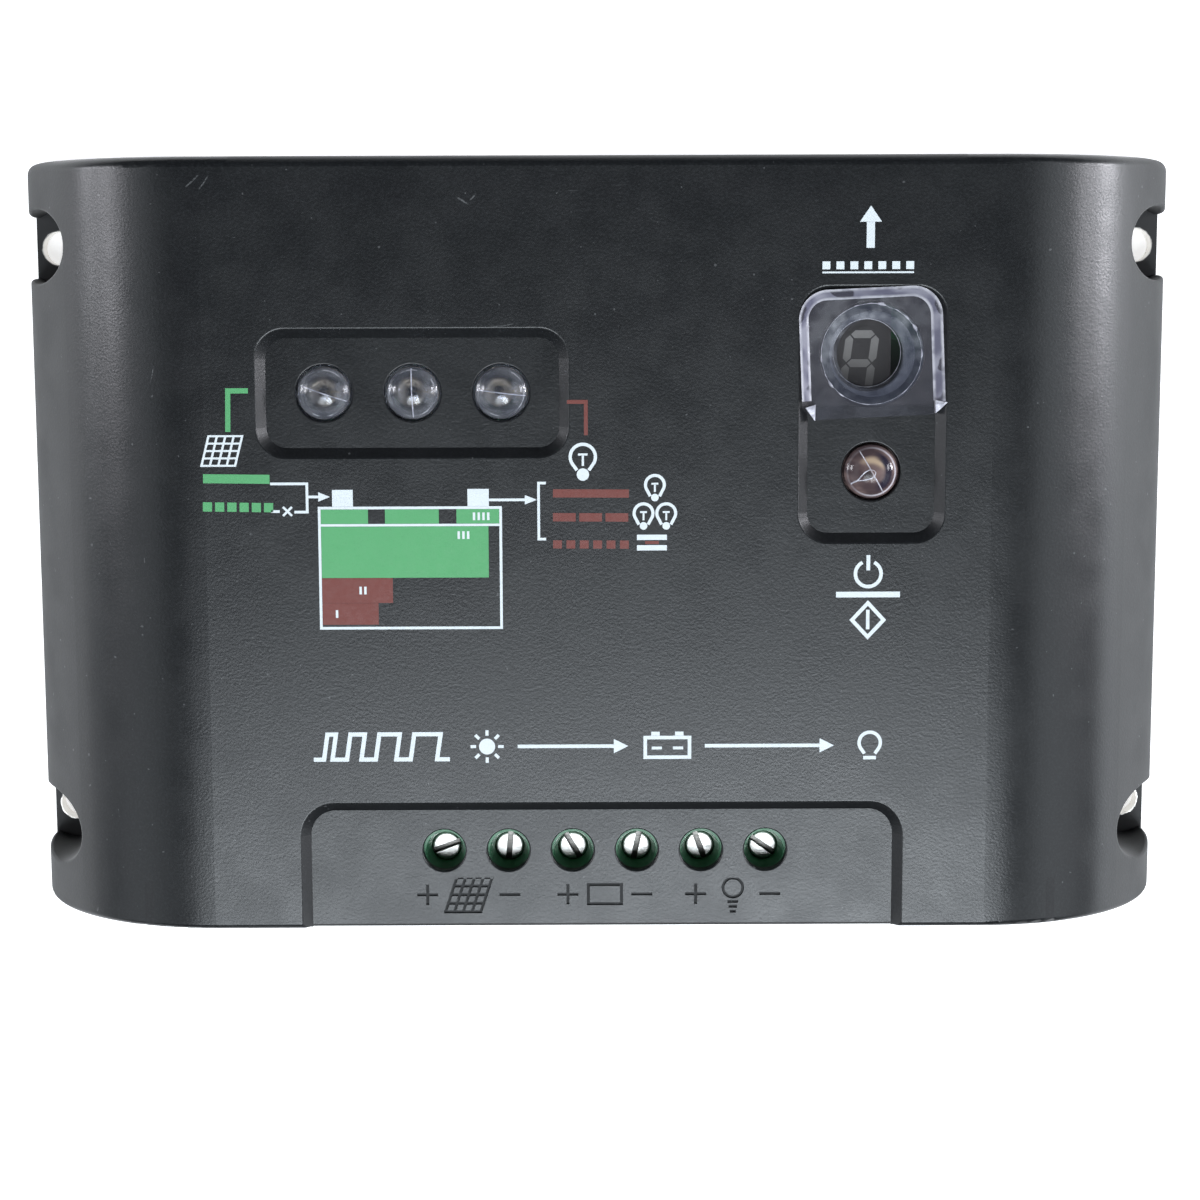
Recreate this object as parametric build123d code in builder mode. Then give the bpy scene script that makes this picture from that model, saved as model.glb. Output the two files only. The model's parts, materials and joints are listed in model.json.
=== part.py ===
"""Wall-mounted solar charge controller.

The controller lies on its back: +X is to the right of the front face, +Y is up the front face and
+Z points out of it. The origin is the centre of the back plane, the plane that meets the wall.
Six screw terminals look out of the lower end (-Y) and are tightened from the front.
All lengths are millimetres.
"""

import os
from math import asin, cos, radians, sin, tan

from build123d import *

os.makedirs("parts", exist_ok=True)

# ------------------------------------------------------------------ enclosure
case_width = 140.0
case_height = 90.5
case_depth = 28.0
side_radius = 24.4
top_edge_radius = 1.25
bottom_edge_radius = 0.7
wall = 2.4
plate_thickness = 2.5
plate_corner_radius = 1.5
cavity_top = case_depth - wall

# wall fixings: plain holes in the plate, each at the bottom of a round access well
fixing_spacing_x = 134.4
fixing_spacing_y = 70.6
fixing_hole_radius = 2.1
well_radius = 4.45
well_wall = 1.8

# case screws, driven from the back into bosses of the front case
boss_spacing_x = 111.0
boss_spacing_y = 72.0
boss_radius = 3.6
case_screw_radius = 1.45
case_screw_head_radius = 2.8
case_screw_length = 10.0

# ------------------------------------------------------------------ front face
recess_depth = 1.15
recess_floor = case_depth - recess_depth
recess_slope = 44.0
recess_band = recess_depth * tan(radians(recess_slope))
recess_overshoot = 0.4
recess_corner = 3.5
recess_edge_radius = 0.3
hole_edge_radius = 0.2
well_edge_radius = 0.3

lens_pitch = 10.27
lens_row_x = -21.5
lens_row_y = 18.2
lens_radius = 3.05
lens_hole_radius = 3.28
lamp_recess_width = 36.2
lamp_recess_height = 14.9

mode_x = 31.7
mode_recess_width = 17.05
mode_recess_height = 29.7
mode_recess_y = 15.5
digit_window_y = 22.5
digit_hole_radius = 6.0
button_y = 8.9
button_radius = 3.13
button_hole_radius = 3.38

terminal_pitch = 7.62
terminal_row_x = 0.6
terminal_y = -36.5
access_hole_y = -36.0
access_hole_radius = 2.5
panel_x = 0.25
panel_width = 71.1
panel_top = -30.0
panel_corner = 4.0
panel_edge_chamfer = 0.35

mark_depth = 0.25
mark_stroke = 0.36
mark_size = 2.5
mark_y = -41.4
plus_mark_x = (-20.5, -3.8, 11.4)
minus_mark_x = (-10.7, 5.0, 20.25)
panel_mark_x = -15.6

# clearances shared by all the pieces
thread_fit = 0.02
screw_slip = 0.1

# ------------------------------------------------------------------ boards
board_thickness = 1.6
main_board_top = 9.2
main_board_bottom = main_board_top - board_thickness
main_board_width = 100.0
main_board_low = -42.4
main_board_high = 34.0
standoff_places = [(-45.0, 29.0), (45.0, 29.0), (-45.0, -26.0), (45.0, -26.0)]
standoff_flats = 5.5
standoff_spigot = 1.5
standoff_spigot_radius = 2.0
standoff_thread_depth = 4.2
board_screw_radius = 1.45

display_board_top = 15.6
display_board_bottom = display_board_top - board_thickness
display_board_left = -40.5
display_board_right = 43.0
display_board_low = 1.0
display_board_high = 32.0
post_places = [(-37.0, 28.8), (-37.0, 4.5), (39.9, 29.0), (39.9, 4.2)]
post_radius = 2.4
post_screw_radius = 1.1
post_screw_length = 7.0

# ------------------------------------------------------------------ terminals
block_width = 2 * terminal_pitch - 0.04
block_front = -42.8
block_back = -29.8
block_top = 25.0
head_radius = 1.7
head_height = 1.2
head_top = 22.4
head_bottom = head_top - head_height
head_clearance = 0.1
slot_width = 0.7
slot_depth = 0.75
slot_angles = [20.0, 85.0, -60.0, 78.0, -70.0, -35.0]
thread_radius = 1.45
thread_clearance = 0.04
funnel_radius = 2.35

cage_width = 6.1
cage_length = 7.0
cage_side = 0.8
cage_floor = 0.9
cage_roof = 1.6
cage_bottom = 10.0
cage_top = 18.1
cage_travel = 3.0
cage_clearance = 0.1
wire_gap_bottom = cage_bottom + cage_floor
wire_gap_top = 15.3
wire_entry_width = 4.6

contact_width = 4.2
contact_thickness = 1.0
contact_top = wire_gap_top + contact_thickness
contact_front = -40.0
tail_y = -31.3
tail_thickness = 0.8
tail_width = 1.2
tail_bottom = 5.4
tip_gap = 0.02

wire_window_bottom = 9.4
wire_window_top = 17.6
wire_window_margin = 0.5

terminal_names = [
    "solar_plus",
    "solar_minus",
    "battery_plus",
    "battery_minus",
    "load_plus",
    "load_minus",
]
circuit_names = ["solar", "battery", "load"]
terminal_x = [terminal_row_x + (i - 2.5) * terminal_pitch for i in range(6)]
circuit_x = [terminal_row_x + (i - 1) * 2 * terminal_pitch for i in range(3)]
lens_x = [lens_row_x + (i - 1) * lens_pitch for i in range(3)]


# ------------------------------------------------------------------ front case
# The hollow of the case is made first, as the core of its mould: the bosses, the posts and the
# walls of the four wells are left standing where the core has holes.
with BuildPart() as mould_core:
    with BuildSketch(Plane.XZ) as core_section:
        with Locations((0, (plate_thickness + cavity_top) / 2)):
            Rectangle(case_width - 2 * wall, cavity_top - plate_thickness)
        fillet(core_section.vertices().group_by(Axis.Y)[-1], side_radius - wall)
    extrude(amount=case_height / 2 - wall, both=True)
    with BuildSketch(Plane.XY.offset(plate_thickness)):
        with GridLocations(fixing_spacing_x, fixing_spacing_y, 2, 2):
            Circle(well_radius + well_wall)
        with GridLocations(boss_spacing_x, boss_spacing_y, 2, 2):
            Circle(boss_radius)
    extrude(amount=case_depth, mode=Mode.SUBTRACT)
    with BuildSketch(Plane.XY.offset(display_board_top)):
        with Locations(*post_places):
            Circle(post_radius)
    extrude(amount=case_depth, mode=Mode.SUBTRACT)


def lies_at(edge, level):
    """True for an edge that lies flat at this height."""
    box = edge.bounding_box()
    return abs(box.min.Z - level) < 0.01 and abs(box.max.Z - level) < 0.01


def draw_polarity_mark(x, upright):
    """Polarity mark at x on the terminal panel: a plus, or a minus when upright is False."""
    with Locations((x, mark_y)):
        Rectangle(mark_size, mark_stroke)
        if upright:
            Rectangle(mark_stroke, mark_size)


def draw_panel_mark(x):
    """Slanted panel of cells: a parallelogram grid."""
    height = 4.2
    row_step = height / 4
    column_step = 1.05
    lean = 0.33
    for row in range(5):
        y = (row - 2) * row_step
        with Locations((x + lean * y, mark_y + y)):
            Rectangle(4 * column_step + mark_stroke, mark_stroke)
    for column in range(5):
        start = x + (column - 2) * column_step
        with Locations((start, mark_y)):
            Polygon(
                (-mark_stroke / 2 - lean * height / 2, -height / 2),
                (mark_stroke / 2 - lean * height / 2, -height / 2),
                (mark_stroke / 2 + lean * height / 2, height / 2),
                (-mark_stroke / 2 + lean * height / 2, height / 2),
                align=None,
            )


def draw_battery_mark(x):
    """Battery: a plain rectangle."""
    width = 4.3
    height = 2.7
    with Locations((x, mark_y)):
        Rectangle(width, height)
        Rectangle(width - 2 * mark_stroke, height - 2 * mark_stroke, mode=Mode.SUBTRACT)


def draw_lamp_mark(x):
    """Lamp: a ring on a narrow cap."""
    ring_radius = 1.35
    with Locations((x, mark_y + 0.75)):
        Circle(ring_radius)
        Circle(ring_radius - mark_stroke, mode=Mode.SUBTRACT)
    for step in range(3):
        with Locations((x, mark_y - 0.95 - 0.6 * step)):
            Rectangle(1.3 - 0.3 * step, mark_stroke)


with BuildPart() as front_case:
    with BuildSketch(Plane.XZ) as case_section:
        with Locations((0, (plate_thickness + case_depth) / 2)):
            Rectangle(case_width, case_depth - plate_thickness)
        fillet(case_section.vertices().group_by(Axis.Y)[-1], side_radius)
    extrude(amount=case_height / 2, both=True)
    for end, radius in ((-1, top_edge_radius), (0, bottom_edge_radius)):
        end_face = front_case.faces().sort_by(Axis.Y)[end]
        outline = end_face.edges().filter_by(lambda edge: edge.center().Z > plate_thickness + 0.1)
        fillet(outline, radius)

    add(mould_core.part, mode=Mode.SUBTRACT)

    # access wells, open to the sides
    with BuildSketch(Plane.XY.offset(plate_thickness)):
        with GridLocations(fixing_spacing_x, fixing_spacing_y, 2, 2):
            Circle(well_radius)
    extrude(amount=case_depth, mode=Mode.SUBTRACT)
    well_rims = front_case.edges().filter_by(GeomType.BSPLINE).filter_by(
        lambda edge: edge.length > 9 * well_radius and abs(edge.center().X) > 61.5
    )
    fillet(well_rims, well_edge_radius)

    # sloped recesses for the lamps, for the digit and button, and for the terminal panel
    with BuildSketch(Plane.XY.offset(recess_floor)):
        with Locations((lens_row_x, lens_row_y)):
            RectangleRounded(
                lamp_recess_width - 2 * recess_band,
                lamp_recess_height - 2 * recess_band,
                recess_corner - recess_band,
            )
        with Locations((mode_x, mode_recess_y)):
            RectangleRounded(
                mode_recess_width - 2 * recess_band,
                mode_recess_height - 2 * recess_band,
                recess_corner - recess_band,
            )
        panel_length = panel_top - recess_band + case_height / 2 + 2 * panel_corner
        with Locations((panel_x, panel_top - recess_band - panel_length / 2)):
            RectangleRounded(panel_width - 2 * recess_band, panel_length, panel_corner - recess_band)
    extrude(amount=recess_depth + recess_overshoot, taper=-recess_slope, mode=Mode.SUBTRACT)
    recess_rims = front_case.edges().filter_by(
        lambda edge: lies_at(edge, case_depth) and abs(edge.center().X) < 42 and abs(edge.center().Y) < 42
    )
    fillet(recess_rims, recess_edge_radius)
    # small slope along the lower edge of the terminal panel
    with BuildSketch(Plane.YZ.offset(panel_x)):
        lip = panel_edge_chamfer
        Polygon(
            (-case_height / 2 - lip, recess_floor - 2 * lip),
            (-case_height / 2 + 2 * lip, recess_floor + lip),
            (-case_height / 2 - lip, recess_floor + lip),
            align=None,
        )
    extrude(amount=panel_width / 2 - recess_band, both=True, mode=Mode.SUBTRACT)

    # holes through the face
    with BuildSketch(Plane.XY.offset(cavity_top - 1)):
        with Locations(*[(x, lens_row_y) for x in lens_x]):
            Circle(lens_hole_radius)
        with Locations((mode_x, digit_window_y)):
            Circle(digit_hole_radius)
        with Locations((mode_x, button_y)):
            Circle(button_hole_radius)
        with Locations(*[(x, access_hole_y) for x in terminal_x]):
            Circle(access_hole_radius)
    extrude(amount=case_depth, mode=Mode.SUBTRACT)
    hole_rims = front_case.edges().filter_by(GeomType.CIRCLE).filter_by(
        lambda edge: lies_at(edge, recess_floor) and edge.length > 6 * access_hole_radius
    )
    fillet(hole_rims, hole_edge_radius)

    # marks sunk into the terminal panel
    with BuildSketch(Plane.XY.offset(recess_floor - mark_depth)):
        for x in plus_mark_x:
            draw_polarity_mark(x, True)
        for x in minus_mark_x:
            draw_polarity_mark(x, False)
        draw_panel_mark(panel_mark_x)
        draw_battery_mark(circuit_x[1])
        draw_lamp_mark(circuit_x[2])
    extrude(amount=recess_depth, mode=Mode.SUBTRACT)

    # wire window in the lower end wall
    with BuildSketch(Plane.XZ.offset(case_height / 2 - wall - 0.5)):
        with Locations((terminal_row_x, (wire_window_bottom + wire_window_top) / 2)):
            RectangleRounded(
                6 * terminal_pitch + 2 * wire_window_margin,
                wire_window_top - wire_window_bottom,
                1.0,
            )
    extrude(amount=2 * wall, mode=Mode.SUBTRACT)

    # pilot holes in the bosses and the posts
    with BuildSketch(Plane.XY.offset(plate_thickness)):
        with GridLocations(boss_spacing_x, boss_spacing_y, 2, 2):
            Circle(case_screw_radius + thread_fit)
    extrude(amount=case_screw_length, mode=Mode.SUBTRACT)
    with BuildSketch(Plane.XY.offset(display_board_top)):
        with Locations(*post_places):
            Circle(post_screw_radius + thread_fit)
    extrude(amount=post_screw_length, mode=Mode.SUBTRACT)

front_case.part.label = "front_case"
export_step(front_case.part, "parts/front_case.step")


# ------------------------------------------------------------------ base plate and its fasteners
transistor_pitch = 16.0
transistor_row_y = -12.0
transistor_x = [(i - 1.5) * transistor_pitch for i in range(4)]
tab_hole_y = transistor_row_y + 7.4
tapped_depth = 1.9

with BuildPart() as base_plate:
    with BuildSketch():
        RectangleRounded(case_width, case_height, plate_corner_radius)
        with GridLocations(fixing_spacing_x, fixing_spacing_y, 2, 2):
            Circle(fixing_hole_radius, mode=Mode.SUBTRACT)
    extrude(amount=plate_thickness)
    with Locations(base_plate.faces().sort_by(Axis.Z)[0]):
        with GridLocations(boss_spacing_x, boss_spacing_y, 2, 2):
            CounterSinkHole(case_screw_radius + screw_slip, case_screw_head_radius + screw_slip)
    with BuildSketch(Plane.XY.offset(plate_thickness)):
        with Locations(*standoff_places):
            Circle(standoff_spigot_radius)
    extrude(amount=-standoff_spigot, mode=Mode.SUBTRACT)
    with BuildSketch(Plane.XY.offset(plate_thickness)):
        with Locations(*[(x, tab_hole_y) for x in transistor_x]):
            Circle(board_screw_radius + thread_fit)
    extrude(amount=-tapped_depth, mode=Mode.SUBTRACT)

base_plate.part.label = "base_plate"
export_step(base_plate.part, "parts/base_plate.step")

case_screw_cone = case_screw_head_radius - case_screw_radius
case_screw_cross = (3.2, 0.7)
case_screw_cross_depth = 1.6
with BuildPart() as case_screws:
    with Locations(*[(x, y) for x in (-boss_spacing_x / 2, boss_spacing_x / 2)
                     for y in (-boss_spacing_y / 2, boss_spacing_y / 2)]):
        Cone(case_screw_head_radius, case_screw_radius, case_screw_cone,
             align=(Align.CENTER, Align.CENTER, Align.MIN))
        Cylinder(case_screw_radius, case_screw_length,
                 align=(Align.CENTER, Align.CENTER, Align.MIN))
        Box(*case_screw_cross, case_screw_cross_depth, mode=Mode.SUBTRACT)
        Box(*reversed(case_screw_cross), case_screw_cross_depth, mode=Mode.SUBTRACT)

case_screws.part.label = "case_screws"
export_step(case_screws.part, "parts/case_screws.step")

with BuildPart() as board_standoffs:
    with BuildSketch(Plane.XY.offset(plate_thickness)):
        with Locations(*standoff_places):
            RegularPolygon(standoff_flats / 2, 6, major_radius=False)
    extrude(amount=main_board_bottom - plate_thickness)
    with BuildSketch(Plane.XY.offset(plate_thickness - standoff_spigot)):
        with Locations(*standoff_places):
            Circle(standoff_spigot_radius - thread_fit)
    extrude(amount=standoff_spigot)
    with BuildSketch(Plane.XY.offset(main_board_bottom)):
        with Locations(*standoff_places):
            Circle(board_screw_radius + thread_fit)
    extrude(amount=-standoff_thread_depth, mode=Mode.SUBTRACT)

board_standoffs.part.label = "board_standoffs"
export_step(board_standoffs.part, "parts/board_standoffs.step")


def pan_screws(places, seat, shank_radius, shank_length, pan_radius, pan_height, up=1):
    """Cross-slot pan-head screws as separate solids; up is +1 for a head above its seat."""
    cross_length = 1.1 * pan_radius
    cross_width = 0.45
    plane = Plane(origin=(0, 0, seat), x_dir=(1, 0, 0), z_dir=(0, 0, up))
    with BuildPart() as screws:
        with BuildSketch(plane):
            with Locations(*[(x, y * up) for x, y in places]):
                Circle(pan_radius)
        extrude(amount=pan_height)
        rims = screws.edges().filter_by(GeomType.CIRCLE).group_by(Axis.Z)[-1 if up > 0 else 0]
        fillet(rims, 0.4 * pan_height)
        with BuildSketch(plane):
            with Locations(*[(x, y * up) for x, y in places]):
                Circle(shank_radius)
        extrude(amount=-shank_length)
        with BuildSketch(plane.offset(0.45 * pan_height)):
            with Locations(*[(x, y * up) for x, y in places]):
                Rectangle(cross_length, cross_width)
                Rectangle(cross_width, cross_length)
        extrude(amount=pan_height, mode=Mode.SUBTRACT)
    return screws.part


board_screws = pan_screws(standoff_places, main_board_top, board_screw_radius, 5.6, 2.7, 2.0)
board_screws.label = "board_screws"
export_step(board_screws, "parts/board_screws.step")

display_board_screws = pan_screws(post_places, display_board_bottom, post_screw_radius, 7.4, 2.1, 1.5, -1)
display_board_screws.label = "display_board_screws"
export_step(display_board_screws, "parts/display_board_screws.step")


# ------------------------------------------------------------------ power transistors on the plate
pad_thickness = 0.2
transistor_bottom = plate_thickness + pad_thickness
transistor_width = 10.2
transistor_body = 9.0
transistor_height = 4.4
tab_length = 6.4
tab_thickness = 1.3
lead_pitch = 2.54
lead_width = 0.8
lead_thickness = 0.5
lead_level = transistor_bottom + 2.4
lead_reach = 4.0

with BuildPart() as transistor_pad:
    with BuildSketch(Plane.XY.offset(plate_thickness)):
        with Locations((0, transistor_row_y + 3)):
            RectangleRounded(4 * transistor_pitch, 18.0, 1.0)
        with Locations(*[(x, tab_hole_y) for x in transistor_x]):
            Circle(1.9, mode=Mode.SUBTRACT)
    extrude(amount=pad_thickness)

transistor_pad.part.label = "transistor_pad"
export_step(transistor_pad.part, "parts/transistor_pad.step")

with BuildPart() as power_transistors:
    with BuildSketch(Plane.XY.offset(transistor_bottom)):
        with Locations(*[(x, transistor_row_y) for x in transistor_x]):
            Rectangle(transistor_width, transistor_body)
    extrude(amount=transistor_height)
    chamfer(power_transistors.edges().group_by(Axis.Z)[-1], 0.4)
    with BuildSketch(Plane.XY.offset(transistor_bottom)):
        tab_y = transistor_row_y + (transistor_body + tab_length) / 2
        with Locations(*[(x, tab_y) for x in transistor_x]):
            Rectangle(transistor_width, tab_length)
        with Locations(*[(x, tab_hole_y) for x in transistor_x]):
            Circle(1.8, mode=Mode.SUBTRACT)
    extrude(amount=tab_thickness)
    lead_places = [(x + k * lead_pitch, transistor_row_y - (transistor_body + lead_reach) / 2)
                   for x in transistor_x for k in (-1, 0, 1)]
    with BuildSketch(Plane.XY.offset(lead_level)):
        with Locations(*lead_places):
            Rectangle(lead_width, lead_reach)
    extrude(amount=lead_thickness)
    with BuildSketch(Plane.XY.offset(lead_level)):
        rise_y = transistor_row_y - transistor_body / 2 - lead_reach + lead_thickness / 2
        with Locations(*[(x, rise_y) for x, _ in lead_places]):
            Rectangle(lead_width, lead_thickness)
    extrude(amount=main_board_top + 0.8 - lead_level)

power_transistors.part.label = "power_transistors"
export_step(power_transistors.part, "parts/power_transistors.step")

transistor_screws = pan_screws(
    [(x, tab_hole_y) for x in transistor_x],
    transistor_bottom + tab_thickness,
    board_screw_radius,
    tab_thickness + pad_thickness + tapped_depth - 0.1,
    2.7,
    2.0,
)
transistor_screws.label = "transistor_screws"
export_step(transistor_screws, "parts/transistor_screws.step")


# ------------------------------------------------------------------ boards
capacitor_places = [(-37.0, -8.5), (-37.0, -20.0)]
capacitor_lead_places = [(x + a, y) for x, y in capacitor_places for a in (-2.5, 2.5)]
header_y = 6.0
header_places = [((i - 3.5) * lead_pitch, header_y) for i in range(8)]
switch_pin_places = [(mode_x + a, button_y + b) for a in (-3.25, 3.25) for b in (-2.25, 2.25)]
digit_x = 30.7
digit_y = 21.3
digit_pin_places = [(digit_x + (i - 2) * 1.27, digit_y + b) for i in range(5) for b in (-5.08, 5.08)]
led_pin_places = [(x + a, lens_row_y) for x in lens_x for a in (-1.27, 1.27)]
shunt_places = [(4.0, -26.0), (16.0, -26.0)]
sensor_places = [(35.0, -33.0), (37.5, -33.0)]
suppressor_places = [(-6.0, 24.0), (10.0, 24.0)]
pin_hole_radius = 0.5

with BuildPart() as main_board:
    with BuildSketch(Plane.XY.offset(main_board_bottom)):
        with Locations((0, (main_board_low + main_board_high) / 2)):
            RectangleRounded(main_board_width, main_board_high - main_board_low, 1.0)
        with Locations(*standoff_places):
            Circle(1.6, mode=Mode.SUBTRACT)
        with Locations(*[(x, tab_hole_y) for x in transistor_x]):
            Circle(3.0, mode=Mode.SUBTRACT)
        with Locations(*[(x, tail_y) for x in terminal_x]):
            Circle(0.9, mode=Mode.SUBTRACT)
        with Locations(*[(x, rise_y) for x, _ in lead_places]):
            Circle(0.6, mode=Mode.SUBTRACT)
        with Locations(*header_places, *sensor_places, *suppressor_places):
            Circle(pin_hole_radius, mode=Mode.SUBTRACT)
        with Locations(*shunt_places):
            Circle(0.85, mode=Mode.SUBTRACT)
        with Locations(*capacitor_lead_places):
            Circle(pin_hole_radius, mode=Mode.SUBTRACT)
    extrude(amount=board_thickness)

main_board.part.label = "main_board"
export_step(main_board.part, "parts/main_board.step")

with BuildPart() as display_board:
    with BuildSketch(Plane.XY.offset(display_board_bottom)):
        centre_x = (display_board_left + display_board_right) / 2
        centre_y = (display_board_low + display_board_high) / 2
        with Locations((centre_x, centre_y)):
            RectangleRounded(
                display_board_right - display_board_left,
                display_board_high - display_board_low,
                1.0,
            )
        with Locations(*post_places):
            Circle(post_screw_radius + 0.15, mode=Mode.SUBTRACT)
        with Locations(*header_places, *switch_pin_places, *led_pin_places):
            Circle(pin_hole_radius, mode=Mode.SUBTRACT)
        with Locations(*digit_pin_places):
            Circle(0.4, mode=Mode.SUBTRACT)
    extrude(amount=board_thickness)

display_board.part.label = "display_board"
export_step(display_board.part, "parts/display_board.step")

header_base = 2.5
with BuildPart() as board_header:
    with BuildSketch(Plane.XY.offset(main_board_top)):
        with Locations((0, header_y)):
            Rectangle(8 * lead_pitch, 2.5)
        with Locations(*header_places):
            Rectangle(0.64, 0.64, mode=Mode.SUBTRACT)
    extrude(amount=header_base)

board_header.part.label = "board_header"
export_step(board_header.part, "parts/board_header.step")

with BuildPart() as header_pins:
    with BuildSketch(Plane.XY.offset(main_board_bottom - 1.4)):
        with Locations(*header_places):
            Rectangle(0.62, 0.62)
    extrude(amount=display_board_top + 1.2 - main_board_bottom + 1.4)

header_pins.part.label = "header_pins"
export_step(header_pins.part, "parts/header_pins.step")


# ------------------------------------------------------------------ parts on the main board
capacitor_radius = 5.0
capacitor_height = 12.5
with BuildPart() as filter_capacitors:
    with BuildSketch(Plane.XY.offset(main_board_top + 0.2)):
        with Locations(*capacitor_places):
            Circle(capacitor_radius)
    extrude(amount=capacitor_height)
    fillet(filter_capacitors.edges().filter_by(GeomType.CIRCLE), 0.6)
    with BuildSketch(Plane.XY.offset(main_board_bottom - 1.2)):
        with Locations(*capacitor_lead_places):
            Circle(0.3)
    extrude(amount=board_thickness + 1.4)

filter_capacitors.part.label = "filter_capacitors"
export_step(filter_capacitors.part, "parts/filter_capacitors.step")

chip_x = -22.0
chip_y = 18.0
with BuildPart() as controller_chip:
    with BuildSketch(Plane.XY.offset(main_board_top + 0.1)):
        with Locations((chip_x, chip_y)):
            Rectangle(12.8, 7.5)
    extrude(amount=2.3)
    chamfer(controller_chip.edges().group_by(Axis.Z)[-1], 0.25)
    with BuildSketch(Plane.XY.offset(main_board_top)):
        with Locations((chip_x, chip_y)):
            with GridLocations(1.27, 8.9, 10, 2):
                Rectangle(0.42, 1.4)
    extrude(amount=0.9)

controller_chip.part.label = "controller_chip"
export_step(controller_chip.part, "parts/controller_chip.step")

regulator_place = (24.0, 20.0, main_board_top)
regulator_pitch = 2.3
regulator_foot_y = 2.5
on_board = (Align.CENTER, Align.CENTER, Align.MIN)
with BuildPart() as voltage_regulator:
    with Locations(regulator_place):
        Box(6.5, 3.5, 1.7, align=on_board)
        with Locations((0, regulator_foot_y, 0)):
            Box(3.0, 2.0, 0.6, align=on_board)
        with Locations(*[(step * regulator_pitch, -regulator_foot_y, 0) for step in (-1, 0, 1)]):
            Box(0.7, 2.0, 0.6, align=on_board)

voltage_regulator.part.label = "voltage_regulator"
export_step(voltage_regulator.part, "parts/voltage_regulator.step")

shunt_radius = 0.75
shunt_top = main_board_top + 5.0
shunt_bend = 2.0
with BuildPart() as current_shunt:
    with BuildLine(Plane.XZ.offset(-shunt_places[0][1])):
        FilletPolyline(
            (shunt_places[0][0], main_board_bottom - 1.2),
            (shunt_places[0][0], shunt_top),
            (shunt_places[1][0], shunt_top),
            (shunt_places[1][0], main_board_bottom - 1.2),
            radius=shunt_bend,
        )
    with BuildSketch(Plane.XY.offset(main_board_bottom - 1.2)):
        with Locations(shunt_places[0]):
            Circle(shunt_radius)
    sweep()

current_shunt.part.label = "current_shunt"
export_step(current_shunt.part, "parts/current_shunt.step")

with BuildPart() as temperature_sensor:
    with BuildSketch(Plane.XY.offset(main_board_bottom - 1.2)):
        with Locations(*sensor_places):
            Circle(0.3)
    extrude(amount=board_thickness + 1.2 + 4.0)
    with Locations((sum(x for x, _ in sensor_places) / 2, sensor_places[0][1], main_board_top + 5.0)):
        Sphere(1.9)

temperature_sensor.part.label = "temperature_sensor"
export_step(temperature_sensor.part, "parts/temperature_sensor.step")

suppressor_radius = 2.0
suppressor_length = 9.0
suppressor_middle = (suppressor_places[0][0] + suppressor_places[1][0]) / 2
with BuildPart() as surge_suppressor:
    with BuildSketch(Plane.YZ.offset(suppressor_middle - suppressor_length / 2)):
        with Locations((suppressor_places[0][1], main_board_top + suppressor_radius + 0.2)):
            Circle(suppressor_radius)
    extrude(amount=suppressor_length)
    with BuildLine(Plane.XZ.offset(-suppressor_places[0][1])):
        FilletPolyline(
            (suppressor_places[0][0], main_board_bottom - 1.2),
            (suppressor_places[0][0], main_board_top + suppressor_radius + 0.2),
            (suppressor_places[1][0], main_board_top + suppressor_radius + 0.2),
            (suppressor_places[1][0], main_board_bottom - 1.2),
            radius=1.0,
        )
    with BuildSketch(Plane.XY.offset(main_board_bottom - 1.2)):
        with Locations(suppressor_places[0]):
            Circle(0.4)
    sweep()

surge_suppressor.part.label = "surge_suppressor"
export_step(surge_suppressor.part, "parts/surge_suppressor.step")

resistor_group_place = (38.0, 12.0)
with BuildPart() as chip_resistors:
    with BuildSketch(Plane.XY.offset(main_board_top)):
        with Locations(resistor_group_place):
            with GridLocations(5.0, 3.2, 2, 4):
                Rectangle(3.2, 1.6)
    extrude(amount=0.6)

chip_resistors.part.label = "chip_resistors"
export_step(chip_resistors.part, "parts/chip_resistors.step")


# ------------------------------------------------------------------ lamps
led_radius = 2.5
led_rim_radius = 2.9
led_base = 17.6
led_dome_centre = 23.8
lens_flange_radius = 4.0
lens_flange_bottom = 24.6
lens_flange_gap = 0.03
lens_shoulder = 26.9
lens_shoulder_radius = 0.5
lens_top = 28.2
lens_bore_radius = 2.7


def lens_cap(x, y, radius, top, hollow):
    """Clear domed cap behind the face, with its flange under the case; hollow for a lamp."""
    rise = top - lens_shoulder
    dome_radius = (radius**2 + rise**2) / (2 * rise)
    half_turn = asin(radius / dome_radius) / 2
    crown = top - dome_radius
    with BuildPart() as cap:
        with BuildSketch(Plane(origin=(x, y, 0), x_dir=(1, 0, 0), z_dir=(0, -1, 0))) as section:
            with BuildLine():
                Polyline(
                    (0, top),
                    (0, lens_flange_bottom),
                    (lens_flange_radius, lens_flange_bottom),
                    (lens_flange_radius, cavity_top - lens_flange_gap),
                    (radius, cavity_top - lens_flange_gap),
                    (radius, lens_shoulder),
                )
                ThreePointArc(
                    (radius, lens_shoulder),
                    (dome_radius * sin(half_turn), crown + dome_radius * cos(half_turn)),
                    (0, top),
                )
            make_face()
            shoulder = section.vertices().filter_by_position(
                Axis.Y, lens_shoulder - 0.01, lens_shoulder + 0.01
            )
            fillet(shoulder, lens_shoulder_radius)
        revolve(axis=Axis((x, y, 0), (0, 0, 1)))
        if hollow:
            with Locations((x, y, led_dome_centre)):
                Sphere(lens_bore_radius, mode=Mode.SUBTRACT)
    return cap


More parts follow.
